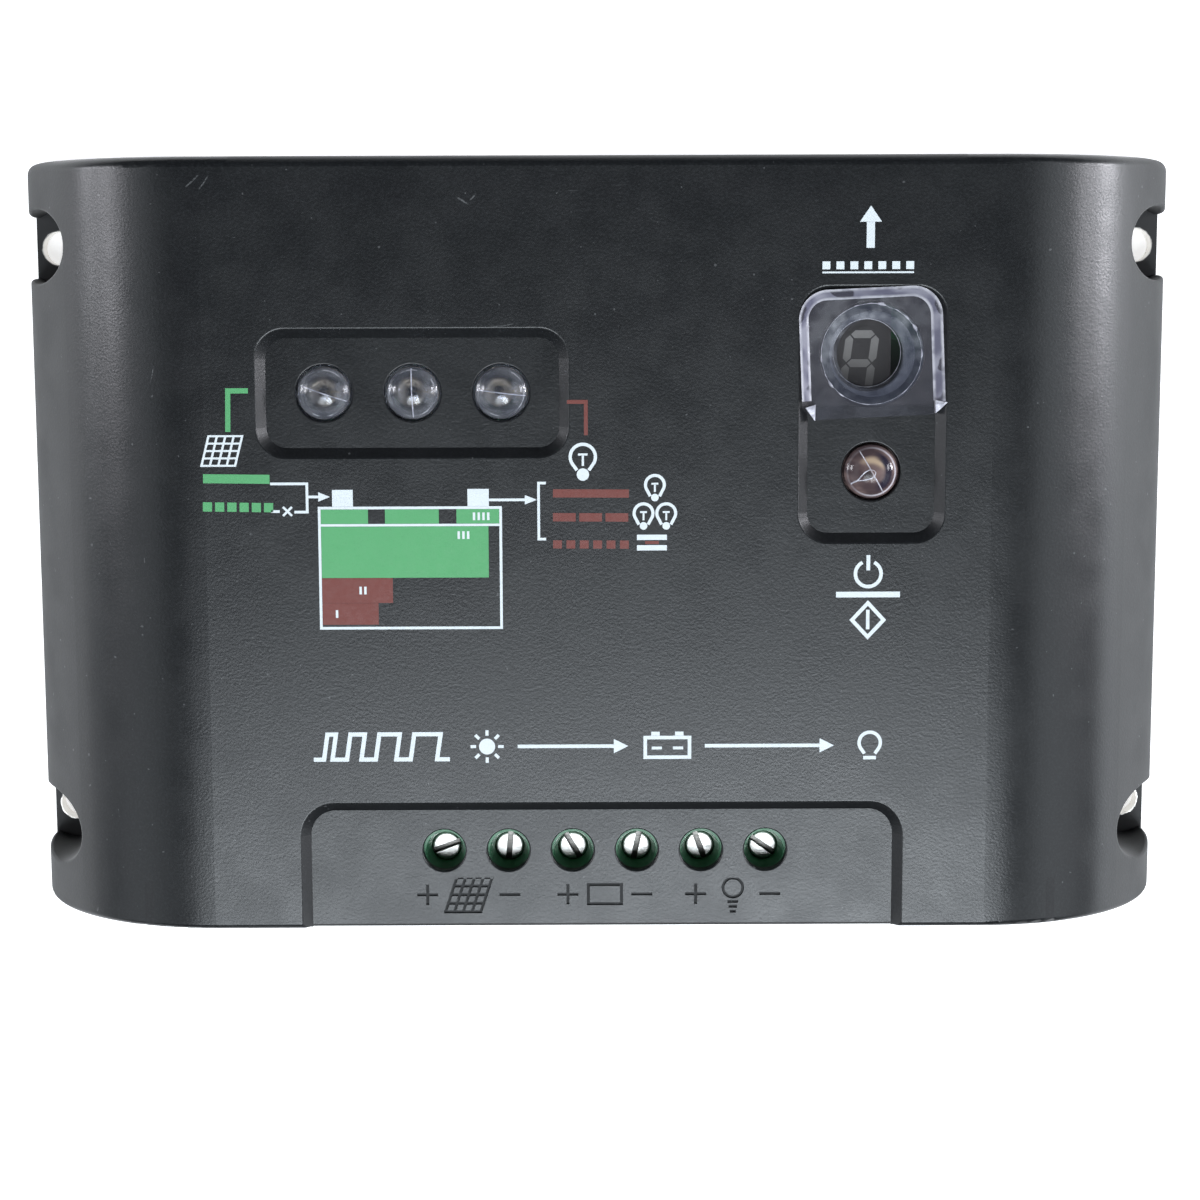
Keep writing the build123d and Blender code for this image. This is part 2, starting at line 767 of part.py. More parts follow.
for name, x in zip(circuit_names, lens_x):
    lens = lens_cap(x, lens_row_y, lens_radius, lens_top, True)
    lens.part.label = f"{name}_lens"
    export_step(lens.part, f"parts/{name}_lens.step")

    with BuildPart() as led:
        with BuildSketch(Plane.XY.offset(led_base)):
            with Locations((x, lens_row_y)):
                Circle(led_rim_radius)
        extrude(amount=1.0)
        with BuildSketch(Plane.XY.offset(led_base)):
            with Locations((x, lens_row_y)):
                Circle(led_radius)
        extrude(amount=led_dome_centre - led_base)
        with Locations((x, lens_row_y, led_dome_centre)):
            Sphere(led_radius)
        with BuildSketch(Plane.XY.offset(display_board_bottom - 1.2)):
            with Locations((x - 1.27, lens_row_y), (x + 1.27, lens_row_y)):
                Rectangle(0.5, 0.5)
        extrude(amount=led_base - display_board_bottom + 1.2)
    led.part.label = f"{name}_led"
    export_step(led.part, f"parts/{name}_led.step")


# ------------------------------------------------------------------ digit and its window
digit_face = 22.0
digit_body_width = 7.5
digit_body_height = 12.7
digit_height = 7.7
digit_width = 3.95
segment_width = 0.92
segment_gap = 0.12
segment_depth = 0.3
digit_lean = 7.6


def segment(length, centre, upright):
    """One bar of the digit: a six-sided bar, drawn upright or lying, leaning with the digit."""
    half = length / 2 - segment_gap
    side = segment_width / 2
    bar = [(half, 0), (half - side, side), (side - half, side),
           (-half, 0), (side - half, -side), (half - side, -side)]
    if upright:
        bar = [(b, a) for a, b in bar]
    placed = [(a + centre[0], b + centre[1]) for a, b in bar]
    leaning = [(digit_x + a + b * tan(radians(digit_lean)), digit_y + b) for a, b in placed]
    Polygon(*leaning, align=None)


bar_reach = digit_width / 2 - segment_width / 2
bar_rise = digit_height / 2 - segment_width / 2
with BuildPart() as digit_segments:
    with BuildSketch(Plane.XY.offset(digit_face - segment_depth)):
        for rise in (-bar_rise, 0, bar_rise):
            segment(2 * bar_reach, (0, rise), False)
        for reach in (-bar_reach, bar_reach):
            for rise in (-bar_rise / 2, bar_rise / 2):
                segment(bar_rise, (reach, rise), True)
        with Locations((digit_x + 2.7, digit_y - bar_rise)):
            Circle(0.5)
    extrude(amount=segment_depth)

digit_segments.part.label = "digit_segments"
export_step(digit_segments.part, "parts/digit_segments.step")

with BuildPart() as digit_display:
    with BuildSketch(Plane.XY.offset(display_board_top)):
        with Locations((digit_x, digit_y)):
            Rectangle(digit_body_width, digit_body_height)
    extrude(amount=digit_face - display_board_top)
    add(digit_segments.part, mode=Mode.SUBTRACT)
    with BuildSketch(Plane.XY.offset(display_board_bottom - 1.2)):
        with Locations(*digit_pin_places):
            Circle(0.25)
    extrude(amount=board_thickness + 1.2)

digit_display.part.label = "digit_display"
export_step(digit_display.part, "parts/digit_display.step")

window_lean = 2.6
window_bottom = recess_floor + 0.05
window_top = 28.25
window_floor_width = 14.1
window_high = 28.9
window_low = 15.2
window_corner = 2.2
window_slope = 42.0
collar_radius = 5.85
collar_bottom = digit_face + 0.3
collar_bore_top = 4.95
collar_bore_bottom = 4.0

window_plane = Plane(origin=(mode_x, digit_window_y, window_bottom), x_dir=(cos(radians(window_lean)),
                     sin(radians(window_lean)), 0), z_dir=(0, 0, 1))
with BuildPart() as display_window:
    # plate that fills the upper part of the recess: three sides flare outwards
    with BuildSketch(window_plane):
        with Locations((-0.15, (window_high + window_low - 2 * window_corner) / 2 - digit_window_y)):
            RectangleRounded(window_floor_width, window_high - window_low + 2 * window_corner,
                             window_corner)
    extrude(amount=window_top - window_bottom, taper=-window_slope)
    # lower side: cut back so that it slopes up and away from the button
    with BuildSketch(Plane(window_plane.origin, x_dir=-window_plane.y_dir, z_dir=-window_plane.x_dir)):
        low = digit_window_y - window_low
        rise = window_top - window_bottom
        Polygon((low, 0), (low - 1.25 * rise, rise + 0.2), (low + 9, rise + 0.2), (low + 9, -0.2),
                (low, -0.2), align=None)
    extrude(amount=2 * window_floor_width, both=True, mode=Mode.SUBTRACT)
    # collar that reaches down to the digit
    with BuildSketch(Plane.XY.offset(collar_bottom)):
        with Locations((mode_x, digit_window_y)):
            Circle(collar_radius)
    extrude(amount=window_bottom - collar_bottom)
    with Locations((mode_x, digit_window_y, collar_bottom)):
        Cone(collar_bore_bottom, collar_bore_top, window_bottom - collar_bottom,
             align=(Align.CENTER, Align.CENTER, Align.MIN), mode=Mode.SUBTRACT)

display_window.part.label = "display_window"
export_step(display_window.part, "parts/display_window.step")


# ------------------------------------------------------------------ mode button and its switch
button_top = 28.4
button_travel = 0.3
switch_height = 3.5
switch_top = display_board_top + switch_height
plunger_radius = 1.75
plunger_clearance = 0.06
plunger_bottom = switch_top - 0.9
plunger_top = 21.0

with BuildPart() as mode_switch_body:
    with Locations((mode_x, button_y, display_board_top)):
        Box(6.0, 6.0, switch_height, align=(Align.CENTER, Align.CENTER, Align.MIN))
    with BuildSketch(Plane.XY.offset(switch_top)):
        with Locations((mode_x, button_y)):
            Circle(plunger_radius + plunger_clearance)
    extrude(amount=-1.5, mode=Mode.SUBTRACT)
    with BuildSketch(Plane.XY.offset(display_board_bottom - 1.0)):
        with Locations(*switch_pin_places):
            Rectangle(0.6, 0.3)
    extrude(amount=display_board_top + 0.8 - display_board_bottom + 1.0)

mode_switch_body.part.label = "mode_switch_body"
export_step(mode_switch_body.part, "parts/mode_switch_body.step")

with BuildPart() as mode_switch_plunger:
    with BuildSketch(Plane.XY.offset(plunger_bottom)):
        with Locations((mode_x, button_y)):
            Circle(plunger_radius)
    extrude(amount=plunger_top - plunger_bottom)
    chamfer(mode_switch_plunger.edges().group_by(Axis.Z)[-1], 0.2)

mode_switch_plunger.part.label = "mode_switch_plunger"
export_step(mode_switch_plunger.part, "parts/mode_switch_plunger.step")

button_cap = lens_cap(mode_x, button_y, button_radius, button_top, False)
with BuildPart() as mode_button:
    add(button_cap.part)
    with BuildSketch(Plane.XY.offset(plunger_top + 0.02)):
        with Locations((mode_x, button_y)):
            Circle(2.0)
    extrude(amount=lens_flange_bottom - plunger_top)

mode_button.part.label = "mode_button"
export_step(mode_button.part, "parts/mode_button.step")


# ------------------------------------------------------------------ terminal blocks
for name, x in zip(circuit_names, circuit_x):
    clamp_places = [(x - terminal_pitch / 2, terminal_y), (x + terminal_pitch / 2, terminal_y)]
    with BuildPart() as terminal_block:
        with BuildSketch(Plane.XY.offset(main_board_top)):
            with Locations((x, (block_front + block_back) / 2)):
                Rectangle(block_width, block_back - block_front)
        extrude(amount=block_top - main_board_top)
        chamfer(terminal_block.edges().group_by(Axis.Z)[-1].filter_by(Axis.X), 0.8)
        # chamber of each rising cage
        with BuildSketch(Plane.XY.offset(cage_bottom - cage_clearance)):
            with Locations(*clamp_places):
                Rectangle(cage_width + 2 * cage_clearance, cage_length + 2 * cage_clearance)
        extrude(amount=cage_top + cage_travel - cage_bottom + 2 * cage_clearance, mode=Mode.SUBTRACT)
        # well of each screw head, opening out to a funnel
        with BuildSketch(Plane.XY.offset(cage_top)):
            with Locations(*clamp_places):
                Circle(head_radius + head_clearance)
        extrude(amount=block_top - cage_top, mode=Mode.SUBTRACT)
        funnel_height = block_top - head_top - 0.2
        with Locations(*[(px, py, block_top - funnel_height) for px, py in clamp_places]):
            Cone(head_radius + head_clearance, funnel_radius, funnel_height,
                 align=(Align.CENTER, Align.CENTER, Align.MIN), mode=Mode.SUBTRACT)
        # wire entries in the front
        with BuildSketch(Plane.XZ.offset(-block_front)):
            with Locations(*[(px, (wire_gap_bottom + wire_gap_top) / 2) for px, _ in clamp_places]):
                Rectangle(wire_entry_width, wire_gap_top - wire_gap_bottom)
        extrude(amount=-4.0, mode=Mode.SUBTRACT)
        entry_edges = (
            terminal_block.faces().sort_by(Axis.Y)[0].inner_wires().edges()
        )
        chamfer(entry_edges, 0.5)
        # slots of the contacts: through the back wall and down to the board
        with BuildSketch(Plane.XY.offset(wire_gap_top)):
            slot_back = tail_y + tail_thickness / 2
            with Locations(*[(px, (terminal_y + slot_back) / 2) for px, _ in clamp_places]):
                Rectangle(contact_width, slot_back - terminal_y)
        extrude(amount=contact_thickness, mode=Mode.SUBTRACT)
        with BuildSketch(Plane.XY.offset(main_board_top)):
            with Locations(*[(px, tail_y) for px, _ in clamp_places]):
                Rectangle(tail_width, tail_thickness)
        extrude(amount=contact_top - main_board_top, mode=Mode.SUBTRACT)
    terminal_block.part.label = f"{name}_terminal_block"
    export_step(terminal_block.part, f"parts/{name}_terminal_block.step")

with BuildPart() as terminal_contacts:
    with BuildSketch(Plane.XY.offset(wire_gap_top)):
        contact_back = tail_y + tail_thickness / 2
        with Locations(*[(x, (contact_front + contact_back) / 2) for x in terminal_x]):
            Rectangle(contact_width, contact_back - contact_front)
    extrude(amount=contact_thickness)
    with BuildSketch(Plane.XY.offset(tail_bottom)):
        with Locations(*[(x, tail_y) for x in terminal_x]):
            Rectangle(tail_width, tail_thickness)
    extrude(amount=wire_gap_top - tail_bottom)

terminal_contacts.part.label = "terminal_contacts"
export_step(terminal_contacts.part, "parts/terminal_contacts.step")

for name, x, slot_angle in zip(terminal_names, terminal_x, slot_angles):
    with BuildPart() as clamp_screw:
        with BuildSketch(Plane.XY.offset(contact_top + tip_gap)):
            with Locations((x, terminal_y)):
                Circle(thread_radius)
        extrude(amount=head_bottom - contact_top - tip_gap)
        with BuildSketch(Plane.XY.offset(head_bottom)):
            with Locations((x, terminal_y)):
                Circle(head_radius)
        extrude(amount=head_height)
        fillet(clamp_screw.edges().group_by(Axis.Z)[-1], 0.3)
        with BuildSketch(Plane.XY.offset(head_top)):
            with Locations(Location((x, terminal_y, 0), (0, 0, slot_angle))):
                Rectangle(3 * head_radius, slot_width)
        extrude(amount=-slot_depth, mode=Mode.SUBTRACT)
    clamp_screw.part.label = f"{name}_screw"
    export_step(clamp_screw.part, f"parts/{name}_screw.step")

    with BuildPart() as clamp_cage:
        with BuildSketch(Plane.XY.offset(cage_bottom)):
            with Locations((x, terminal_y)):
                Rectangle(cage_width, cage_length)
        extrude(amount=cage_top - cage_bottom)
        fillet(clamp_cage.edges().filter_by(Axis.Y), 0.4)
        with Locations((x, terminal_y, wire_gap_bottom)):
            Box(cage_width - 2 * cage_side, 2 * cage_length, cage_top - cage_roof - wire_gap_bottom,
                align=(Align.CENTER, Align.CENTER, Align.MIN), mode=Mode.SUBTRACT)
        with BuildSketch(Plane.XY.offset(cage_top)):
            with Locations((x, terminal_y)):
                Circle(thread_radius + thread_clearance)
        extrude(amount=-cage_roof, mode=Mode.SUBTRACT)
    clamp_cage.part.label = f"{name}_cage"
    export_step(clamp_cage.part, f"parts/{name}_cage.step")
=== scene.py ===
import json
import math

import bmesh
import bpy
from mathutils import Matrix, Vector


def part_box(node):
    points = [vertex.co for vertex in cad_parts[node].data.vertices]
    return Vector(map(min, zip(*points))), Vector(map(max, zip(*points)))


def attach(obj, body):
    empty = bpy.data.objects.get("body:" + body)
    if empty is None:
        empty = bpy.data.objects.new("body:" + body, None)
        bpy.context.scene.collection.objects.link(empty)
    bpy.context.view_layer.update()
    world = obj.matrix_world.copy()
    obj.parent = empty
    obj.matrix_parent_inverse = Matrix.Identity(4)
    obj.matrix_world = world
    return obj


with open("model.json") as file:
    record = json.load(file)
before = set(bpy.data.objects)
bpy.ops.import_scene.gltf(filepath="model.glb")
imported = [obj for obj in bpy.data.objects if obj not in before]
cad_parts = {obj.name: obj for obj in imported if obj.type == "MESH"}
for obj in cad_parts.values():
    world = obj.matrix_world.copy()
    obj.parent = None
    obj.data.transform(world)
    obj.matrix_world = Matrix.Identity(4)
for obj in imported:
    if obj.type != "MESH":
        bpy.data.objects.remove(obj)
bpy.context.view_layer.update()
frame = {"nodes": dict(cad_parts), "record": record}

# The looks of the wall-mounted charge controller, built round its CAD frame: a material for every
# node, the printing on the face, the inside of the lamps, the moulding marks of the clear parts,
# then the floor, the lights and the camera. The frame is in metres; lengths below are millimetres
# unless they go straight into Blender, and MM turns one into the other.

MM = 0.001


# ------------------------------------------------------------------ places taken from the frame
def box_mm(name):
    """Lowest and highest corner of a CAD node, in millimetres."""
    low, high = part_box(name)
    return Vector(low) / MM, Vector(high) / MM


def middle_mm(name):
    low, high = box_mm(name)
    return (low + high) / 2


face_z = box_mm("front_case")[1].z
lens_tops = {name: box_mm(f"{name}_lens")[1].z for name in ("solar", "battery", "load")}
window_low, window_high = box_mm("display_window")
button_high = box_mm("mode_button")[1]
fixings = next(m for m in frame["record"]["mounts"] if m["name"] == "wall_fixings")["dims"]


# ------------------------------------------------------------------ node materials
def node(tree, kind, values=None, **settings):
    """One node with its settings and inputs; an input given as a socket is linked."""
    made = tree.nodes.new(kind)
    for key, value in settings.items():
        setattr(made, key, value)
    for key, value in (values or {}).items():
        if isinstance(value, bpy.types.NodeSocket):
            tree.links.new(value, made.inputs[key])
        else:
            made.inputs[key].default_value = value
    return made


def calc(tree, operation, a, b=0.0):
    return node(tree, "ShaderNodeMath", {0: a, 1: b}, operation=operation).outputs[0]


def product(tree, *factors):
    """All the factors multiplied together."""
    result = factors[0]
    for factor in factors[1:]:
        result = calc(tree, "MULTIPLY", result, factor)
    return result


def greater(tree, a, b):
    return calc(tree, "MAXIMUM", a, b)


def ramp(tree, value, low, high, low_out=0.0, high_out=1.0):
    """value going from low to high gives low_out to high_out, smoothly and no further."""
    values = {"Value": value, "From Min": low, "From Max": high, "To Min": low_out, "To Max": high_out}
    return node(tree, "ShaderNodeMapRange", values, interpolation_type="SMOOTHSTEP").outputs[0]


def mix(tree, factor, a, b):
    """Colour a at factor 0 and b at factor 1."""
    values = {0: factor, 6: a, 7: b}
    return node(tree, "ShaderNodeMix", values, data_type="RGBA").outputs[2]


def position(tree):
    return node(tree, "ShaderNodeTexCoord").outputs["Object"]


def axes_of(tree, vector):
    return node(tree, "ShaderNodeSeparateXYZ", {0: vector}).outputs


def upward(tree):
    """1 on surfaces that lie flat and 0 on upright ones."""
    normal = node(tree, "ShaderNodeTexCoord").outputs["Normal"]
    return calc(tree, "ABSOLUTE", axes_of(tree, normal)[2])


def noise(tree, vector, size_mm, detail=2.0, roughness=0.5):
    """Noise whose blotches are about this many millimetres across."""
    values = {"Vector": vector, "Scale": 1 / (size_mm * MM), "Detail": detail, "Roughness": roughness}
    return node(tree, "ShaderNodeTexNoise", values).outputs["Fac"]


def stretched(tree, vector, turn, stretch):
    """The position turned about Z and squeezed, so that noise read there makes long streaks."""
    turned = node(tree, "ShaderNodeMapping", {"Vector": vector, "Rotation": (0, 0, math.radians(turn)),
                                              "Scale": (1 / stretch, 1, 1)})
    return turned.outputs[0]


def from_centre(tree, place, centre):
    """Distance in the plane of the face from this centre, and the offsets in X and Y."""
    x, y = axes_of(tree, place)[:2]
    dx = calc(tree, "SUBTRACT", x, centre.x * MM)
    dy = calc(tree, "SUBTRACT", y, centre.y * MM)
    square = calc(tree, "ADD", product(tree, dx, dx), product(tree, dy, dy))
    return calc(tree, "SQRT", square), dx, dy


def band(tree, value, middle, half, soft):
    """1 where value is within half of middle, falling to 0 over soft; all in millimetres."""
    away = calc(tree, "ABSOLUTE", calc(tree, "SUBTRACT", value, middle * MM))
    return ramp(tree, away, half * MM, (half + soft) * MM, 1.0, 0.0)


def bump(tree, height, depth_mm, strength=1.0):
    values = {"Height": height, "Distance": depth_mm * MM, "Strength": strength}
    return node(tree, "ShaderNodeBump", values).outputs[0]


def rgb(red, green, blue):
    return (red, green, blue, 1.0)


def new_material(name, **plain):
    """A Principled material; plain holds the inputs that are the same all over."""
    material = bpy.data.materials.new(name)
    material.use_nodes = True
    tree = material.node_tree
    shader = tree.nodes["Principled BSDF"]
    for key, value in plain.items():
        shader.inputs[key.replace("_", " ")].default_value = value
    return material, tree, shader


def connect(tree, shader, colour=None, roughness=None, normal=None, alpha=None):
    for key, value in (("Base Color", colour), ("Roughness", roughness), ("Normal", normal),
                       ("Alpha", alpha)):
        if value is not None:
            tree.links.new(value, shader.inputs[key])


def grained(name, colour, other, roughness, grain_mm, depth_mm, blotch_mm=6.0, **plain):
    """Colour that drifts between two shades, uneven gloss and a fine grain in the surface."""
    material, tree, shader = new_material(name, **plain)
    place = position(tree)
    drift = ramp(tree, noise(tree, place, blotch_mm, 3.0), 0.35, 0.65)
    gloss = ramp(tree, noise(tree, place, blotch_mm / 4, 2.0), 0.3, 0.7, roughness[0], roughness[1])
    grain = noise(tree, place, grain_mm, 2.0, 0.6)
    connect(tree, shader, mix(tree, drift, colour, other), gloss, bump(tree, grain, depth_mm))
    return material


def scratch(tree, place, x, y, turn, length, width):
    """Short pale scratch in the face, centred on x, y and ragged along its run."""
    moved = node(tree, "ShaderNodeMapping", {"Vector": place, "Location": (x * MM, y * MM, 0),
                                             "Rotation": (0, 0, math.radians(turn))}, vector_type="TEXTURE")
    along, across = axes_of(tree, moved.outputs[0])[:2]
    bow = product(tree, along, along, 1 / (12 * length * MM))
    line = band(tree, calc(tree, "SUBTRACT", across, bow), 0, width / 4, width / 2)
    run = ramp(tree, calc(tree, "ABSOLUTE", along), 0.2 * length * MM, 0.5 * length * MM, 1.0, 0.0)
    broken = ramp(tree, noise(tree, place, 0.35, 2.0), 0.35, 0.6, 0.05, 0.55)
    return product(tree, line, run, broken)


def case_plastic():
    """Black moulding with a spark-eroded grain, smooth on the slopes of the recesses and duller
    in the sunk marks and towards the sides, with a few scratches, scuffs and grains of dust."""
    material, tree, shader = new_material("case_plastic", IOR=1.46)
    place = position(tree)
    x, y, z = axes_of(tree, place)[:3]
    up = upward(tree)
    flat_half = 42.0
    inner = ramp(tree, calc(tree, "ABSOLUTE", x), flat_half * MM, (flat_half + 0.5) * MM, 1.0, 0.0)
    near_face = ramp(tree, z, (face_z - 1.3) * MM, (face_z - 1.1) * MM)
    leaning = ramp(tree, up, 0.86, 0.94, 1.0, 0.0)
    slope = product(tree, inner, near_face, leaning)
    grain = noise(tree, place, 0.30, 1.5, 0.5)
    strength = ramp(tree, slope, 0.0, 1.0, 1.0, 0.12)
    normal = bump(tree, grain, 0.0145, strength)
    fleck = ramp(tree, noise(tree, place, 0.3, 2.0, 0.7), 0.4, 0.75)
    base = mix(tree, fleck, rgb(0.0060, 0.0068, 0.0078), rgb(0.0125, 0.0138, 0.0155))
    scuff_line = noise(tree, stretched(tree, place, 35.0, 14.0), 0.5, 2.0)
    scuff_area = ramp(tree, noise(tree, place, 17.0, 1.0), 0.60, 0.72)
    scuff = product(tree, ramp(tree, scuff_line, 0.70, 0.78), scuff_area)
    dust = ramp(tree, noise(tree, place, 0.55, 0.0), 0.84, 0.88)
    pale = greater(tree, product(tree, scuff, 0.4), product(tree, dust, 0.35))
    for sx, sy, turn, length, width in ((-46.2, 42.4, 42, 2.6, 0.16), (-44.9, 42.2, 55, 2.2, 0.14),
                                        (-15.4, 40.1, -30, 1.8, 0.2), (-14.2, 40.5, 48, 1.3, 0.16),
                                        (-11.0, 25.9, 7, 3.0, 0.10), (-51.5, 20.4, 78, 2.2, 0.10)):
        pale = greater(tree, pale, scratch(tree, place, sx, sy, turn, length, width))
    colour = mix(tree, pale, base, rgb(0.16, 0.165, 0.17))
    rough = ramp(tree, noise(tree, place, 5.0, 3.0), 0.3, 0.7, 0.28, 0.33)
    panel_z = face_z - 1.15
    marks_top = -39.5
    sunk = product(tree, band(tree, z, panel_z - 0.25, 0.17, 0.05),
                   ramp(tree, y, (marks_top - 0.1) * MM, marks_top * MM, 1.0, 0.0))
    outer = ramp(tree, calc(tree, "ABSOLUTE", x), 60.0 * MM, 69.0 * MM)
    dulled = greater(tree, product(tree, sunk, 0.3), product(tree, slope, 0.14))
    gloss = calc(tree, "ADD", rough, greater(tree, dulled, product(tree, outer, 0.35)))
    connect(tree, shader, colour, gloss, normal)
    return material


def plate_paint():
    """Matt black paint on steel, bare on the walls of the four fixing holes."""
    material, tree, shader = new_material("black_plate")
    place = position(tree)
    x, y = axes_of(tree, place)[:2]
    half_x = fixings["spacing_x_mm"] / 2 * MM
    half_y = fixings["spacing_y_mm"] / 2 * MM
    from_x = calc(tree, "SUBTRACT", calc(tree, "ABSOLUTE", x), half_x)
    from_y = calc(tree, "SUBTRACT", calc(tree, "ABSOLUTE", y), half_y)
    squares = calc(tree, "ADD", product(tree, from_x, from_x), product(tree, from_y, from_y))
    distance = calc(tree, "SQRT", squares)
    wear = product(tree, noise(tree, place, 0.8, 3.0), 0.35 * MM)
    edge = calc(tree, "ADD", distance, wear)
    hole_r = fixings["hole_r_mm"]
    bare = ramp(tree, edge, (hole_r + 0.2) * MM, (hole_r + 0.32) * MM, 1.0, 0.0)
    paint = mix(tree, noise(tree, place, 9.0, 3.0), rgb(0.006, 0.006, 0.0065), rgb(0.014, 0.014, 0.015))
    steel = mix(tree, noise(tree, place, 0.5, 3.0), rgb(0.72, 0.70, 0.66), rgb(0.9, 0.88, 0.84))
    shade = mix(tree, bare, paint, steel)
    rough = ramp(tree, bare, 0.0, 1.0, 0.52, 0.3)
    peel = bump(tree, noise(tree, place, 0.9, 2.0), 0.02)
    connect(tree, shader, shade, rough, peel)
    tree.links.new(bare, shader.inputs["Metallic"])
    return material


def turned_metal(name, bright, dull, roughness, stain=0.35, shaded_below=None):
    """Plated metal with fine crossing scratches and a little staining; given a height, everything
    below it, such as the slot of a screw head, is painted darker as painted shade."""
    material, tree, shader = new_material(name, Metallic=1.0)
    place = position(tree)
    one_way = noise(tree, stretched(tree, place, 25.0, 18.0), 0.12, 2.0)
    other_way = noise(tree, stretched(tree, place, -50.0, 18.0), 0.15, 2.0)
    lines = product(tree, calc(tree, "ADD", one_way, other_way), 0.5)
    stains = ramp(tree, noise(tree, place, 1.1, 4.0, 0.65), 0.45, 0.75, 0.0, stain)
    colour = mix(tree, stains, bright, dull)
    rough = ramp(tree, lines, 0.3, 0.7, roughness[0], roughness[1])
    if shaded_below is not None:
        # painted shade: below the given height the metal is painted dark grey, edged raggedly by the stains
        depth = calc(tree, "ADD", axes_of(tree, place)[2], product(tree, stains, 0.1 * MM))
        slot_shade = ramp(tree, depth, (shaded_below - 0.4) * MM, (shaded_below - 0.1) * MM, 1.0, 0.0)
        colour = mix(tree, slot_shade, colour, rgb(0.17, 0.165, 0.155))
    connect(tree, shader, colour, rough, bump(tree, lines, 0.012))
    return material


def board_mask():
    """Green solder mask with tracks under it, over the weave of the glass."""
    material, tree, shader = new_material("board", Coat_Weight=0.4, Coat_Roughness=0.12)
    place = position(tree)
    cells = node(tree, "ShaderNodeTexVoronoi", {"Vector": place, "Scale": 1 / (5.0 * MM), "Randomness": 0.6},
                 feature="DISTANCE_TO_EDGE")
    track = ramp(tree, cells.outputs["Distance"], 0.05, 0.07, 1.0, 0.0)
    weave = node(tree, "ShaderNodeTexWave", {"Vector": place, "Scale": 1 / (9.0 * MM), "Distortion": 0.4})
    green = mix(tree, weave.outputs["Fac"], rgb(0.010, 0.080, 0.028), rgb(0.014, 0.100, 0.036))
    colour = mix(tree, track, green, rgb(0.03, 0.19, 0.07))
    rough = ramp(tree, noise(tree, place, 3.0, 2.0), 0.3, 0.7, 0.3, 0.42)
    connect(tree, shader, colour, rough, bump(tree, track, 0.03))
    return material


def pad_rubber():
    """Silicone pad on a glass cloth, whose weave shows."""
    material, tree, shader = new_material("pad")
    place = position(tree)
    across = node(tree, "ShaderNodeTexWave", {"Vector": place, "Scale": 1 / (5.0 * MM)}, bands_direction="X")
    along = node(tree, "ShaderNodeTexWave", {"Vector": place, "Scale": 1 / (5.0 * MM)}, bands_direction="Y")
    weave = product(tree, across.outputs["Fac"], along.outputs["Fac"])
    colour = mix(tree, weave, rgb(0.36, 0.36, 0.39), rgb(0.50, 0.50, 0.53))
    connect(tree, shader, colour, ramp(tree, noise(tree, place, 4.0), 0.3, 0.7, 0.6, 0.75),
            bump(tree, weave, 0.03))
    return material


def capacitor_sleeve():
    """Shrunk sleeve with a pale stripe up one side; the crimped lid is bare aluminium."""
    material, tree, shader = new_material("capacitor_sleeve")
    place = position(tree)
    x, _, z = axes_of(tree, place)[:3]
    low, high = box_mm("filter_capacitors")
    lid = ramp(tree, z, (high.z - 0.35) * MM, (high.z - 0.25) * MM)
    stripe = ramp(tree, x, (low.x + 0.9) * MM, (low.x + 1.1) * MM, 1.0, 0.0)
    blue = mix(tree, noise(tree, place, 3.0), rgb(0.012, 0.016, 0.045), rgb(0.02, 0.026, 0.065))
    sleeve = mix(tree, stripe, blue, rgb(0.5, 0.52, 0.55))
    colour = mix(tree, lid, sleeve, rgb(0.7, 0.7, 0.71))
    connect(tree, shader, colour, ramp(tree, noise(tree, place, 1.0), 0.3, 0.7, 0.25, 0.4),
            bump(tree, noise(tree, place, 0.5), 0.02))
    tree.links.new(lid, shader.inputs["Metallic"])
    return material


def clear_moulding(name, tint, roughness, ripple_mm):
    """Clear plastic: a slightly wavy surface and faint clouding."""
    material, tree, shader = new_material(name, Transmission_Weight=1.0, IOR=1.49, Specular_IOR_Level=0.15)
    place = position(tree)
    cloud = ramp(tree, noise(tree, place, 1.6, 3.0), 0.35, 0.75)
    colour = mix(tree, cloud, tint, rgb(tint[0] * 0.82, tint[1] * 0.82, tint[2] * 0.86))
    rough = ramp(tree, noise(tree, place, 0.7, 2.0), 0.35, 0.7, roughness[0], roughness[1])
    connect(tree, shader, colour, rough, bump(tree, noise(tree, place, 0.9, 1.0), ripple_mm))
    return material


def lens_plastic(name, seed):
    """Clear cap of a lamp: bluish, a little milky, with a painted highlight in a ring where the wall below
    the dome turns down, and drifts of flow marks from the moulding."""
    material, tree, shader = new_material(f"{name}_lens_plastic", IOR=1.49, Specular_IOR_Level=0.1)
    place = position(tree)
    distance = from_centre(tree, place, middle_mm(f"{name}_lens"))[0]
    drift = noise(tree, stretched(tree, place, seed, 2.5), 1.5, 2.0)
    # painted highlight: a pale ring over the turn of the wall that lets less light through
    rim_highlight = product(tree, band(tree, distance, 2.66, 0.03, 0.10),
                  ramp(tree, noise(tree, place, 1.6, 1.0), 0.42, 0.62, 0.08, 0.45))
    haze = mix(tree, ramp(tree, drift, 0.35, 0.65), rgb(0.60, 0.63, 0.74), rgb(0.76, 0.78, 0.86))
    colour = mix(tree, rim_highlight, haze, rgb(0.90, 0.92, 0.97))
    cloud = ramp(tree, distance, 1.4 * MM, 2.5 * MM, 0.03, 0.11)
    cloudy = product(tree, cloud, ramp(tree, drift, 0.3, 0.7, 0.75, 1.2))
    clear = calc(tree, "SUBTRACT", 1.0, greater(tree, cloudy, product(tree, rim_highlight, 0.8)))
    rough = ramp(tree, noise(tree, place, 0.8, 2.0), 0.35, 0.7, 0.13, 0.22)
    connect(tree, shader, colour, rough, bump(tree, noise(tree, place, 2.2, 0.0), 0.008))
    tree.links.new(clear, shader.inputs["Transmission Weight"])
    return material


digit_hole = Vector((middle_mm("display_window").x, 22.5, 0))
bore_radius, collar_radius = 4.0, 5.8


